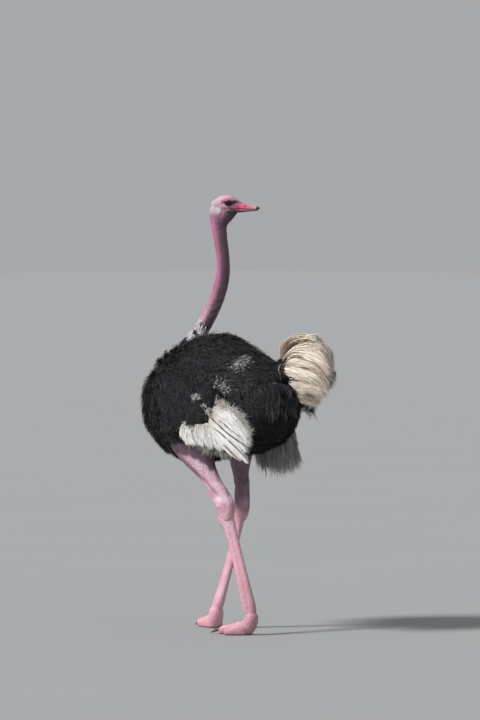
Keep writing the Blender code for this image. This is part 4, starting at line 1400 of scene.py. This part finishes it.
def body_coat(legs):
    """The black body plumage on the trunk and over the folded wings, and the white down that flecks it."""
    dice = np.random.default_rng(61)
    coat = Coat("body_plumage", "plumage_black", barbs("black_body_plumage", *BLACK, 0.35, 0.6, shine=0.25))
    down = barbs("white_down", "#b5b0a9", "#dddbd8", "#dddbd8", 0.3, 0.65)
    white = Coat("white_flecks", "plumage_white", down)
    grounds = (  # the skin, the coat's surface, spacing, start, end, length, width, and the share held down
        (trunk_body(), trunk_body(0.004), 0.0138, -0.92, 1.92, 0.165, 0.044, 1.0),
        (tail_stump(0.004), tail_stump(-0.02), 0.0125, -0.3, 0.75, 0.08, 0.03, 1.0),
        *((wing_body(side, 0.026), wing_body(side, 0.006), 0.013, -0.97, 1.95, 0.165, 0.04, 0.4)
          for side in (1, -1)),
    )
    for inner, outer, spacing, start, end, long, wide, held in grounds:
        t, a, root, out, flat = roots(inner, spacing, start, end, dice)
        keep = ~within(neck_body(), root, 0.004)
        for leg in legs:
            keep &= ~within(leg.thigh(), root, -0.012)
        on_wing, winged = outer.side is UPWARD, np.abs(root[:, 0]) > WING_SIDE
        if on_wing:
            keep &= winged
        forward = BOX_CENTRE[0] - root[:, 1]
        plumed = winged & (forward < np.where(root[:, 0] > 0, -0.03, 0.12)) & (forward > -0.3)
        keep &= ~(plumed & (np.abs(root[:, 2] - 0.955) < 0.057))  # the white plumes lie there
        t, a, root, out, flat, plumed, winged, forward = (
            v[keep] for v in (t, a, root, out, flat, plumed, winged, forward))
        n = len(t)
        front, under, rump = ease(0.62, 1.25, t), np.clip(-out[:, 2], 0, 1), ease(0.1, -0.6, t)
        length = long * (1 - 0.4 * front - 0.25 * under - 0.35 * rump) * (1 + 0.16 * wander(root, 0.07, 63))
        length = length * dice.uniform(0.8, 1.15, n)
        if on_wing:  # the feathers of the wing grow shorter at its ends
            length = length * (1 - 0.75 * ease(0.7, 1.1, t) - 0.2 * ease(-0.6, -0.8, t))
        above = root[:, 2] - 1.0  # the white plumes' roots
        short = np.minimum(length, np.maximum(1.15 * above, 0.02))
        length = np.where(plumed & (above > 0), short, length)
        ahead = forward + np.where(root[:, 0] > 0, 0.055, -0.09)  # of the first white plumes
        beside = winged & (np.abs(root[:, 2] - 0.965) < 0.07) & (ahead > 0)
        length = np.where(beside, np.minimum(length, np.maximum(0.9 * ahead, 0.02)), length)
        flow = plumage_flow(0.14 * dice.normal(size=n))
        lift = 0.9 + 0.1 * wander(root, 0.045, 64) + 0.07 * dice.normal(size=n)
        spine, face = flowing(inner, outer, t, a, flow, length, 5, np.clip(lift, 0.6, 1.1), held)
        tone = tones(0.4 + 0.26 * wander(root, 0.09, 65), 0.24, n, dice)
        coat.grow(spine, face, wide * dice.uniform(0.75, 1.2, n), tone, flat, BODY_FEATHER, dice)
        fleck(white, outer, t, a, flat, dice)
    rump_tuft(coat, dice)
    coat.pieces()
    white.pieces()


PLUME = ("strands", "span", "blunt", "stray", "ragged", "crown", "droop", "thick", "twist", "roll")
SILK, LOOSE, FLUFF = (dict(zip(PLUME, row)) for row in (
    (170, 0.50, 0.22, 0.004, 0.003, 0.22, 0.004, 0.0024, 0.16, 0.06),
    (80, 0.34, 0.30, 0.012, 0.009, 0.25, 0.022, 0.0026, 0.35, 0.25),
    (190, 0.40, 0.20, 0.009, 0.007, 0.12, 0.004, 0.0022, 0.30, 0.10),
))
NEAR_PLUMES = (  # of the near wing, from the front: root, middle, tip, half-width, and whether it is fluffy
    ((-0.044, 0.303, 1.016), (-0.016, 0.314, 0.962), (-0.088, 0.306, 0.902), 0.030, True),
    ((-0.066, 0.304, 1.014), (-0.054, 0.316, 0.956), (-0.096, 0.308, 0.900), 0.026, True),
    ((-0.106, 0.308, 1.000), (-0.110, 0.316, 0.950), (-0.130, 0.304, 0.897), 0.031, True),
    ((-0.142, 0.310, 1.000), (-0.164, 0.316, 0.948), (-0.190, 0.302, 0.886), 0.033, True),
    ((-0.166, 0.311, 1.000), (-0.212, 0.314, 0.944), (-0.246, 0.298, 0.876), 0.030, True),
    ((-0.172, 0.311, 1.004), (-0.256, 0.308, 0.931), (-0.345, 0.270, 0.832), 0.021, False),
    ((-0.178, 0.312, 1.016), (-0.284, 0.304, 0.939), (-0.387, 0.262, 0.822), 0.019, False),
    ((-0.184, 0.312, 1.030), (-0.302, 0.302, 0.956), (-0.380, 0.260, 0.872), 0.021, False),
    ((-0.190, 0.312, 1.054), (-0.302, 0.300, 0.994), (-0.394, 0.256, 0.896), 0.023, True),
    ((-0.195, 0.309, 1.078), (-0.306, 0.298, 1.032), (-0.390, 0.254, 0.918), 0.023, True),
    ((-0.215, 0.306, 1.092), (-0.322, 0.294, 1.048), (-0.390, 0.250, 0.944), 0.016, True),
)
SHAFTS = (  # dark lines of painted shadow in the gaps between the near wing's plumes: root, middle, tip and thickness
    ((-0.178, 0.324, 1.040), (-0.296, 0.316, 0.967), (-0.398, 0.268, 0.888), 0.0075),
    ((-0.196, 0.324, 0.993), (-0.312, 0.314, 0.926), (-0.381, 0.282, 0.849), 0.0060),
    ((-0.275, 0.320, 0.905), (-0.325, 0.304, 0.866), (-0.356, 0.286, 0.833), 0.0055),
    ((-0.240, 0.320, 1.024), (-0.318, 0.306, 0.976), (-0.372, 0.276, 0.925), 0.0040),
    ((-0.078, 0.330, 0.985), (-0.088, 0.336, 0.940), (-0.100, 0.326, 0.900), 0.0050),
)
WISPS = (  # thin white barbs that lie loose over the black above the near wing: start and end of each line
    ((-0.130, 0.322, 1.092), (-0.200, 0.322, 1.066)), ((-0.150, 0.324, 1.064), (-0.205, 0.322, 1.038)),
)
INNER_ROWS = (  # roots, middles and tips of the plumes behind the near wing's white ones, grey as painted shade, from the front
    ((-0.060, 0.303, 0.990), (-0.120, 0.308, 0.985), (-0.165, 0.310, 1.000), (-0.190, 0.305, 1.050)),
    ((-0.070, 0.309, 0.930), (-0.150, 0.312, 0.920), (-0.262, 0.302, 0.922), (-0.300, 0.290, 0.990)),
    ((-0.100, 0.300, 0.885), (-0.190, 0.296, 0.862), (-0.350, 0.262, 0.835), (-0.385, 0.254, 0.890)),
)
FAR_ROWS = (  # and those of the far wing, which hangs lower
    ((0.120, 0.296, 1.000), (0.040, 0.302, 1.010), (-0.040, 0.300, 1.020), (-0.100, 0.290, 1.030)),
    ((0.115, 0.308, 0.870), (0.020, 0.312, 0.875), (-0.070, 0.308, 0.885), (-0.132, 0.300, 0.905)),
    ((0.060, 0.276, 0.752), (-0.045, 0.276, 0.738), (-0.135, 0.270, 0.745), (-0.226, 0.258, 0.782)),
)


def near_plumes(coat, dice):
    """The left wing's plumes one by one, in three layers each, and loose wisps above and behind them."""
    for root, middle, tip, half, fluffy in NEAR_PLUMES:
        for depth in (-0.016, -0.008, 0.0):
            places = path_of((root, middle, tip)) + dice.normal(0, 0.0025, (1, 3, 3))
            out = unit(LEFTWARD + BACK * 0.3 + 0.06 * dice.normal(size=(1, 3)))
            flat = np.array([[0.5 - root[0], 0.2 - 6 * depth]])
            tone = tones(0.8 if fluffy else 0.62, 0.2, 1, dice)
            spine = through(places + LEFTWARD * depth, 14)
            coat.comb(spine, out, np.full(1, half), tone, flat, FLUFF if fluffy else SILK, dice)
    for start, end in WISPS:
        n = 34
        start, end = at(*start), at(*end)
        place = start + (end - start) * dice.uniform(size=(n, 1)) + dice.normal(0, 0.004, (n, 3))
        way = unit(0.6 * BACK + 0.25 * FALL + 0.5 * dice.normal(size=(n, 3)))
        coat.strands(place, way, 0.3 * LEFTWARD + 0 * place, dice.uniform(0.012, 0.036, n),
                     dice.uniform(0.0008, 0.0018, n), dice.uniform(0.3, 1, n), np.full((n, 2), 0.97))
    n = 620
    last = through(path_of(NEAR_PLUMES[-1][:3]), 30)[0]
    edge = last[dice.integers(2, 28, n)]
    edge = edge + np.array((0.004, 0.008, 0.01)) + dice.normal(0, (0.003, 0.009, 0.009), (n, 3))
    way = unit(0.5 * BACK + 0.5 * UPWARD + 0.1 * LEFTWARD + 0.5 * dice.normal(size=(n, 3)))
    coat.strands(edge, way, way + 0.5 * dice.normal(size=(n, 3)), dice.uniform(0.012, 0.042, n),
                 dice.uniform(0.001, 0.002, n), dice.uniform(0.0, 1, n), np.full((n, 2), 0.95))


def near_shafts(coat, dice):
    """Dark ribbons of painted shadow in the gaps between the left wing's plumes, each slightly ragged."""
    for root, middle, tip, thick in SHAFTS:
        path = through(path_of((root, middle, tip)) + LEFTWARD * 0.001, 24)
        path[0, :, 2] += 0.002 * np.sin(np.linspace(0, 3 * math.pi, 25))
        taper = thick * np.sin(np.linspace(0.35, math.pi, 25))[None] * (1 + 0.4 * dice.normal(size=(1, 25)))
        face = np.tile(unit(LEFTWARD + 0.3 * BACK), (1, 25, 1))
        coat.lay(path, face, np.abs(taper), np.linspace(0, 1, 25)[None], dice.uniform(size=1),
                 np.array([[0.5 - root[0], 0.9]]))


def hang(coat, side, rows, ranks, each, low, high, kind, shelf, dice):
    """Ranks of plumes that hang from the first row over the second to the third, low to high off the rows."""
    outward, n = np.array((side, 0, 0)), ranks * each
    u = np.clip(np.tile((np.arange(each) + 0.5) / each, ranks) + dice.normal(0, 0.02, n), 0, 1)
    rank = np.repeat(np.arange(ranks), each) / max(ranks - 1, 1)
    loose = 2.0 if kind is LOOSE else 1.0
    places = []
    for row, spread, shrink in zip(rows, (0.004, 0.004, 0.007), (0.0, 0.09, 0.2)):
        line = spline([at(f, side * l, z) for f, l, z in row], u)
        place = line + outward * (low + (high - low) * rank)[:, None] * (1 - shrink * 2)
        places.append(place + dice.normal(0, spread * loose, (n, 3)) * np.array((0.5, 1, 1)))
    short = (dice.uniform(0.88, 1.03, n) * (1 - (0.36 if kind is SILK else 0.08) * rank))[:, None]
    root, middle, tip = places
    middle, tip = root + (middle - root) * (0.3 + 0.7 * short), root + (tip - root) * short
    out = unit(outward + BACK * 0.3 + 0.1 * dice.normal(size=(n, 3)))
    flat = np.stack([0.05 + 0.9 * u, 0.1 + 0.25 * rank + shelf], -1)
    tone = tones(0.62, 0.3, n, dice)
    half = 0.021 * loose**0.3 * dice.uniform(0.8, 1.2, n)
    coat.comb(through(np.stack([root, middle, tip], 1), 12), out, half, tone, flat, kind, dice)


def wing_coat():
    """The long white plumes of both wings, fluffy towards the front, with dark lines of painted shadow between,
    and inner ones greyed as painted shade."""
    finish = barbs("white_wing_plumes", "#b3b0a9", "#e8e6e3", "#dedbd7", 0.3, 0.6, "#b5aca0")
    # painted shade: the inner plumes are white ones coloured as if in shade, pale grey on the far wing and dark
    # grey on the near
    shadowed = barbs("pale_inner_plumes", "#b2b1ac", "#d8d6d1", "#d8d6d1", 0.4, 0.65, "#a09d98")
    grey = barbs("grey_inner_plumes", "#5d5c58", "#8b8984", "#93918c", 0.4, 0.65, "#4c4a46")
    dice = np.random.default_rng(72)
    near = Coat("wing_plumes_left", "plumage_white", finish)
    near_plumes(near, dice)
    near.pieces("wing_left")
    # the dark lines between the plumes are painted shadow
    bare = barbs("plume_shafts", "#3b352f", "#5c5349", "#6b6157", 0.4, 0.5)
    dark = Coat("wing_shafts_left", "plumage_white", bare)
    near_shafts(dark, dice)
    dark.pieces()
    inner = Coat("inner_plumes_left", "plumage_white", grey)
    hang(inner, 1, INNER_ROWS, 3, 20, -0.04, -0.026, LOOSE, 0.4, np.random.default_rng(72))
    inner.pieces()
    dice = np.random.default_rng(70)
    far = Coat("wing_plumes_right", "plumage_white", finish)
    hang(far, -1, FAR_ROWS, 4, 15, -0.016, 0.004, SILK, 0, dice)
    hang(far, -1, FAR_ROWS, 3, 16, -0.012, 0.000, LOOSE, 0, dice)
    far.pieces("wing_right")
    behind = Coat("inner_plumes_right", "plumage_white", shadowed)
    hang(behind, -1, FAR_ROWS, 3, 20, -0.04, -0.026, LOOSE, 0.4, dice)
    behind.pieces()


TAIL_HEART = at(-0.480, -0.035, 1.230)  # the middle of the bush
TAIL_STRAND = 0.0026  # across the widest place of a strand
TAIL_TAPER = np.array((0.8, 1, 1, 1, 0.9, 0.6, 0.0))[None]  # of a strand, from its root to its tip
TAIL_GROWN = np.linspace(0, 1, 7)[None]  # the strands' places, as shares of their length
TAIL_TIERS = (  # each tier's upper and lower edge, from the rump to the hanging end, on the bird's left side
    (((-0.371, 0.011, 1.292), (-0.383, 0.006, 1.359), (-0.420, -0.010, 1.397),
      (-0.468, -0.029, 1.411), (-0.515, -0.049, 1.401)),
     ((-0.395, 0.029, 1.292), (-0.424, 0.028, 1.335), (-0.465, 0.015, 1.359),
      (-0.510, -0.001, 1.373), (-0.544, -0.021, 1.373))),
    (((-0.400, 0.024, 1.306), (-0.458, 0.008, 1.349), (-0.516, -0.021, 1.375),
      (-0.564, -0.054, 1.363), (-0.577, -0.082, 1.301)),
     ((-0.407, 0.031, 1.287), (-0.476, 0.033, 1.316), (-0.541, 0.024, 1.306),
      (-0.589, 0.005, 1.278), (-0.613, -0.019, 1.240))),
    (((-0.386, 0.024, 1.264), (-0.459, 0.036, 1.301), (-0.528, 0.024, 1.301),
      (-0.585, -0.006, 1.273), (-0.609, -0.043, 1.206)),
     ((-0.394, 0.031, 1.244), (-0.463, 0.046, 1.235), (-0.528, 0.051, 1.221),
      (-0.579, 0.029, 1.206), (-0.603, -0.009, 1.168))),
    (((-0.421, 0.018, 1.226), (-0.504, 0.034, 1.235), (-0.559, 0.021, 1.221),
      (-0.596, -0.002, 1.196), (-0.602, -0.036, 1.156)),
     ((-0.431, 0.008, 1.192), (-0.493, 0.030, 1.178), (-0.538, 0.028, 1.164),
      (-0.569, 0.011, 1.160), (-0.575, -0.009, 1.138))),
    (((-0.434, 0.004, 1.182), (-0.503, 0.020, 1.172), (-0.541, 0.010, 1.160),
      (-0.561, -0.010, 1.145), (-0.558, -0.024, 1.128)),
     ((-0.441, -0.002, 1.148), (-0.489, 0.006, 1.128), (-0.520, 0.003, 1.122),
      (-0.532, -0.010, 1.114), (-0.530, -0.024, 1.108))),
)
TAIL_RIDGE = (  # strands over the ridge, and down the front and the back of the bush: middle and half-width
    (-0.405, -0.010, 1.318, 0.026), (-0.425, -0.016, 1.372, 0.024), (-0.480, -0.036, 1.398, 0.022),
    (-0.540, -0.042, 1.372, 0.030),
)
TAIL_FRONT = (
    (-0.395, -0.022, 1.205, 0.052), (-0.408, -0.024, 1.275, 0.050), (-0.420, -0.024, 1.330, 0.040),
    (-0.450, -0.028, 1.376, 0.026),
)
TAIL_BACK = (
    (-0.520, -0.042, 1.385, 0.028), (-0.572, -0.046, 1.345, 0.036), (-0.588, -0.048, 1.250, 0.036),
    (-0.552, -0.044, 1.125, 0.026),
)


def from_heart(row):
    """The way out of the bush at each place of its strands."""
    return unit((row - TAIL_HEART) * np.array((1, 1, 0.7)))


def stretches(n, starts, lengths, ends, dice):
    """Where each of n strands has its places, along paths that it may begin late on and leave early."""
    start = np.clip(dice.uniform(*starts, (n, 1)), 0, 1)
    end = np.minimum(start + dice.uniform(*lengths, (n, 1)), dice.uniform(*ends, (n, 1)))
    return start + (end - start) * TAIL_GROWN


def tier_strands(coat, number, upper, lower, far, depth, n, locks, dice):
    """One layer of a tier, in locks with a few loose strands. The far side's mirrors the near one's, further
    out at the ends."""
    t = np.linspace(0, 1, 5)
    u = np.sort(dice.uniform(-0.3, 1.0, n))
    down = (u + 0.3) / 1.3 * locks
    lock = np.clip((down + 0.1 * dice.normal(size=n)).astype(int), 0, locks - 1)
    inside = np.clip(2 * (down - lock) - 1, -1, 1)
    own = dice.normal(size=(4, locks))[:, lock]
    across = (u + 0.05 * own[0])[:, None, None]
    row = upper * (1 - across) + lower * across
    row[:, 1:] += dice.normal(0, 0.0035, (n, 1, 3)) + 0.004 * own[1:].T[:, None]
    if far:
        spread = 0.005 + 0.04 * ease(0.0, 0.5, t)[None]
        row[..., 0] = -2 * spread * (1 - 0.11 * number) - row[..., 0] + 2 * at(0, 0, 0)[0]
        row[..., 2] += 0.007 * number * ease(0.2, 1.0, t)
    away = from_heart(row)
    under = 0.016 * ease(0.4, 0.0, u) + 0.034 * ease(0.05, -0.3, u)
    rolled = 0.014 * np.sin(math.pi * np.clip(0.2 + 0.62 * u, 0, 1)) + 0.006 * u
    row = row + away * (rolled - under - depth)[:, None, None]
    along = stretches(n, (-0.2, 0.66), (0.3, 0.55), (0.93, 1.0), dice)
    path, face = sampled(through(row, 14), along), unit(sampled(through(away, 14), along))
    sideways = unit(np.cross(face, np.gradient(path, axis=1)))
    loose = dice.normal(size=(3, n, 1)) * TAIL_GROWN**2 * (1 + 0.9 * (dice.uniform(size=(n, 1)) < 0.1))
    wave = 0.0024 * np.sin(14 * along + dice.uniform(0, math.tau, (n, 1))) * TAIL_GROWN
    crown = 0.011 * (1 - inside**2)[:, None] * np.sin(math.pi * np.clip(along, 0, 0.9))
    rise = crown + 0.0025 * dice.normal(size=(n, 1)) + 0.006 * np.abs(loose[0])
    path = path + face * rise[..., None] + sideways * (0.0105 * loose[1] + wave)[..., None]
    hang = 0.014 * (1 - 0.17 * number) * np.minimum(np.abs(loose[2]), 2.0)
    path = path + FALL * (hang * ease(0.5, 1.0, along))[..., None]
    thick = TAIL_STRAND * dice.uniform(0.6, 1.25, (n, 1)) * TAIL_TAPER
    facing = unit(face + 0.2 * dice.normal(size=(n, 1, 3)))
    # painted shade: each tier darkens at its top, where it tucks under the tier above, and the far side darkens
    # whole
    folded = 0.75 * ease(0.3, 0.0, u + 0.05 * own[1]) * (number > 0)
    tone = 0.92 - folded - 0.72 * far - 0.03 * number + 0.22 * own[0] + 0.2 * dice.normal(size=n)
    flat = np.stack([0.1 + 0.38 * (u + 0.3) / 1.3 + 0.42 * far, np.full(n, 0.1 + 0.16 * number)], -1)
    # shade: how much of the dark root colour, a painted shade, each strand takes; most on the far side and in
    # the inner layers
    shade = (0.3 if number else 0.36) - 0.22 * far + 0.75 * along if depth < 0.02 else 0.2 * along
    coat.lay(path, facing, thick, np.clip(shade, 0, 1), np.clip(tone, 0, 1), flat)


def gap_strands(coat, number, upper, lower, dice):
    """Short dark strands of painted shadow in the gap over a tier, and a few down over it."""
    n = 900
    u = np.where(dice.uniform(size=n) < 0.62, dice.normal(0.02, 0.035, n), dice.uniform(0.0, 0.95, n))
    row = upper * (1 - u[:, None, None]) + lower * u[:, None, None] + dice.normal(0, 0.003, (n, 1, 3))
    away = from_heart(row)
    start = dice.uniform(0.0, 0.72, (n, 1))
    along = start + dice.uniform(0.08, 0.26, (n, 1)) * TAIL_GROWN
    raised = 0.0105 + 0.011 * np.sin(math.pi * np.clip(0.2 + 0.62 * u, 0, 1)) - 0.016 * ease(0.4, 0.0, u)
    path = sampled(through(row + raised[:, None, None] * away, 14), along)
    thick = TAIL_STRAND * dice.uniform(0.6, 1.25, (n, 1)) * np.array((0.2, 0.8, 1, 1, 0.9, 0.5, 0.0))[None]
    flat = np.stack([0.1 + 0.38 * along[:, 0], np.full(n, 0.02 + 0.16 * number)], -1)
    coat.lay(path, sampled(through(away, 14), along), thick, 0.12 * along, dice.uniform(0, 0.3, n), flat)


def edge_strands(coat, rows, n, tone, dice):
    """Strands along one edge of the bush, which close it between its two sides."""
    u, half = dice.uniform(-1, 1, n), np.array([row[3] for row in rows])
    row = path_of(rows) + dice.normal(0, 0.006, (n, 1, 3))
    row = row + LEFTWARD * (half[None] * (u[:, None] + 0.25 * dice.normal(size=(n, len(half)))))[..., None]
    along = stretches(n, (-0.3, 0.6), (0.35, 0.6), (0.92, 1.0), dice)
    path = sampled(through(row, 14), along) + dice.normal(0, 0.006, (n, 1, 3)) * TAIL_GROWN[..., None] ** 2
    thick = TAIL_STRAND * dice.uniform(0.6, 1.25, (n, 1)) * TAIL_TAPER
    facing = unit(unit(path - TAIL_HEART) + 0.25 * dice.normal(size=(n, 1, 3)))
    flat = np.stack([0.5 + 0.4 * u, np.full(n, 0.93)], -1)
    coat.lay(path, facing, thick, 0.3 + 0.7 * along, tones(tone, 0.2, n, dice), flat)


def tail_coat():
    """The raised cream tail: tiers of long strands, that run back from the rump and droop at their ends, each
    tier tucked under the one above."""
    dice = np.random.default_rng(81)
    # the dark brown root colour is painted shade in the folds between the tiers
    finish = barbs("cream_tail_plumes", "#8b7d69", "#f2e5d5", "#ecdfce", 0.45, 0.62, "#3f3225")
    coat = Coat("tail_plumes", "plumage_cream", finish)
    for number, edges in enumerate(TAIL_TIERS):
        upper, lower = map(path_of, edges)
        for layer in ((0, 0.0, 1950, 9), (1, 0.01, 1150, 9), (0, 0.03, 130, 3), (1, 0.036, 130, 3)):
            tier_strands(coat, number, upper, lower, *layer, dice)
        if number:
            gap_strands(coat, number, upper, lower, dice)
    for rows, n, tone in ((TAIL_RIDGE, 900, 0.72), (TAIL_FRONT, 1100, 0.45), (TAIL_BACK, 2000, 0.5)):
        edge_strands(coat, rows, n, tone, dice)
    coat.pieces("tail")


def sprouted(mesh, weigh, count, dice):
    """Random places on a mesh, more where weigh is high, and the way out of the skin at each."""
    mesh.calc_loop_triangles()
    corners = np.empty(len(mesh.loop_triangles) * 3, np.int32)
    mesh.loop_triangles.foreach_get("vertices", corners)
    corners = points_of(mesh)[corners.reshape(-1, 3)]
    normal = np.cross(corners[:, 1] - corners[:, 0], corners[:, 2] - corners[:, 0])
    share = np.linalg.norm(normal, axis=1) * np.clip(weigh(corners.mean(1)), 0, None)
    picks = dice.choice(len(share), count, p=share / share.sum())
    u, v = dice.uniform(size=(2, count, 1))
    u, v = np.where(u + v > 1, 1 - u, u), np.where(u + v > 1, 1 - v, v)
    a, b, c = corners[picks].transpose(1, 0, 2)
    return a + (b - a) * u + (c - a) * v, unit(normal[picks])


def head_down(points):
    """How thickly down covers each point of the head: most over the ears, the brow, the crown and nape."""
    h = moved(HEAD_BACK, points)
    x, side, z = h[:, 0], np.abs(h[:, 1]), h[:, 2]
    crown = ease(0.022, 0.036, z + 0.3 * np.clip(-x, 0, 0.02)) + 1.3 * ease(-0.034, -0.052, x)
    crown = crown + 1.6 * spot(x, side, (0.038, 0), (0.02, 0.013)) * ease(0.0, 0.01, z)
    cheek, ear = spot(x, z, (-0.02, -0.04), (0.032, 0.02)), spot(x, z, EAR, (0.009, 0.013))
    lids = np.where(side > 0.012, ease(0.6, 1.2, opening(x, z) * ease(0.012, 0.02, side)), 1.0)
    return (crown + 0.35 * cheek + 5.0 * ear + 0.1) * (ease(0.058, 0.046, x) * ease(-0.095, -0.06, z) * lids)


def neck_down(points):
    """How thickly down covers each point of the neck, from the collar to the head."""
    z = points[:, 2]
    return ease(1.44, 1.5, z) * ease(1.99, 1.95, z) * (0.6 + 0.4 * wander(points, 0.05, 92))


def down_coat(skin, dice):
    """The sparse white down of the head and neck, and the thick tuft over each ear."""
    finish = barbs("white_head_down", "#87647a", "#f4eef0", "#f0eaec", 0.0, 0.6)
    coat = Coat("head_and_neck_down", "down_pale", finish)
    for weigh, count, long, thick in ((head_down, 6500, 0.007, 0.00048), (neck_down, 2600, 0.0065, 0.00034)):
        root, out = sprouted(skin.data, weigh, count, dice)
        h = moved(HEAD_BACK, root)
        sweep = -BILLWARD * ease(-0.1, -0.03, h[:, 2])[:, None] + FALL * ease(0.02, -0.05, h[:, 2])[:, None]
        way = laid(out, sweep + 0.25 * dice.normal(size=(count, 3)))
        angle = np.arctan2(h[:, 1], h[:, 0] + 0.01) / math.tau + 0.5
        flat = np.stack([0.02 + 0.96 * angle, 0.02 + 0.96 * ease(1.3, 2.1, root[:, 2])], -1)
        ear = spot(h[:, 0], h[:, 2], EAR, (0.011, 0.014))
        length = long * dice.uniform(0.6, 1.25, count) * (1 + 0.7 * ear)
        tone = dice.uniform(0.1, 0.6, count) * (0.3 + 1.2 * ease(1.96, 2.02, root[:, 2])) + 0.8 * ear
        width = np.full(count, thick) * (1 + 0.9 * ear)
        coat.strands(root, way, out, length, width, np.clip(tone, 0, 1), flat)
    coat.pieces()


def collar_coat(dice):
    """The white collar of short feathers, and the black ones below it down to the breast."""
    inner, outer = neck_body(), neck_body(0.0)
    pale = barbs("white_collar_feathers", "#b4b0b4", "#e6e4e8", "#e8e6ea", 0.3, 0.65)
    white = Coat("collar", "plumage_white", pale)
    black = Coat("collar_black", "plumage_black", barbs("black_collar_feathers", *BLACK, 0.3, 0.6, shine=0.25))
    t, a, root, _, flat = roots(inner, 0.0068, 0.08, 0.275, dice)
    keep = t < 0.243 - 0.55 * beside_neck(root) + 0.01 * dice.normal(size=len(t))
    t, a, root, flat = (v[keep] for v in (t, a, root, flat))
    dark = wander(root, 0.03, 93) + 0.35 * dice.normal(size=len(t)) > 0.4 + 9 * (root[:, 2] - 1.398)
    dark = dark | (t < 0.13)

    def downwards(place, out, t):
        return turned(laid(out, FALL + 0.25 * BACK), out, 0.6 * wander(place, 0.03, 94))

    low_t, _, low_root, low_out, low_flat = roots(inner, 0.012, -0.95, 0.1, dice)
    n = len(low_t)
    way = laid(low_out, FALL + 0.25 * BACK + 0.15 * dice.normal(size=(n, 3)))
    long = dice.uniform(0.045, 0.075, (n, 1))
    stem = [low_root, low_root + (way + 0.55 * low_out) * long * 0.4, low_root + (way + 0.3 * low_out) * long]
    tone = tones(0.4, 0.24, n, dice)
    width = 0.024 * dice.uniform(0.75, 1.2, n)
    black.grow(through(np.stack(stem, 1), 4), low_out, width, tone, low_flat, BODY_FEATHER, dice)
    for chosen, target in ((~dark, white), (dark, black)):
        n = chosen.sum()
        length = np.interp(t[chosen], (0.1, 0.19, 0.225), (0.05, 0.03, 0.012)) * dice.uniform(0.8, 1.2, n)
        lift = dice.uniform(0.8, 1.15, n)
        spine, face = flowing(inner, outer, t[chosen], a[chosen], downwards, length, 4, lift)
        target.grow(spine, face, length * 0.32, dice.uniform(0.3, 1, n), flat[chosen], SHORT, dice)
        target.pieces()


# ------------------------ the studio

def build_studio():
    """A plain pale floor, two soft suns, an even sky, and a camera behind the bird's left side."""
    corners = [(-90, -90, 0), (90, -90, 0), (90, 90, 0), (-90, 90, 0)]
    floor = put("studio_floor", mesh_of("studio_floor", corners, [(0, 1, 2, 3)]))
    material, tree, shader, point, _ = started("painted_studio_floor")
    cloud = add(tree, "ShaderNodeTexNoise", {"Scale": 0.8}, {"Vector": point})
    tree.links.new(tinted(tree, "#909192", (cloud, "#929394")), shader.inputs["Base Color"])
    shader.inputs["Roughness"].default_value = 0.9
    floor.data.materials.append(material)
    turn, tip = math.radians(135), math.radians(1.65)
    back = np.array((math.sin(turn) * math.cos(tip), -math.cos(turn) * math.cos(tip), math.sin(tip)))
    right = np.array((math.cos(turn), math.sin(turn), 0))
    aim = at(0, 0, 0) + right * 0.0475 + UPWARD * 1.292
    lens = bpy.data.cameras.new("camera")
    lens.sensor_fit, lens.sensor_height, lens.sensor_width = "VERTICAL", 36, 36
    lens.lens, lens.clip_end = 294.7, 400
    bpy.context.scene.camera = put("camera", lens)
    aimed = [(bpy.context.scene.camera, back, 28)]
    for name, way, softness, power in (
        ("key", -right * 0.9 + UPWARD * 0.85 + back * 0.48, 12, 4.4),
        ("fill", right * 0.5 + UPWARD * 0.45 + back * 0.9, 60, 0.3),
    ):
        sun = bpy.data.lights.new(name, "SUN")
        sun.angle, sun.energy = math.radians(softness), power
        aimed.append((put(name, sun), way, 6))
    for obj, way, distance in aimed:
        obj.location = aim + way * distance
        obj.rotation_euler = Vector(-way).to_track_quat("-Z", "Y").to_euler()
    world = bpy.data.worlds.new("studio")
    bpy.context.scene.world = world
    world.use_nodes = True
    sky = world.node_tree.nodes["Background"]
    sky.inputs["Color"].default_value = srgb("#e4e6e8")
    sky.inputs["Strength"].default_value = 0.5
    bpy.context.scene.view_settings.view_transform = "Standard"


build_studio()
legs = [Leg("left"), Leg("right")]
skin = build_skin(legs)
piece(skin, "skin_pink", bare_skin(), "trunk", "tail", "wing_left", "wing_right", "neck_base", "neck_lower",
      "neck_upper", "head", "ear_left", "ear_right",
      *(f"{part}_{leg.word}" for leg in legs for part in ("thigh", "shank", "foot", "toe_large", "toe_small")))
copies = repeated_tree()
build_eyes(copies)
build_bill()
build_scutes(copies, legs)
body_coat(legs)
wing_coat()
tail_coat()
collar_dice = np.random.default_rng(91)
down_coat(skin, collar_dice)
collar_coat(collar_dice)
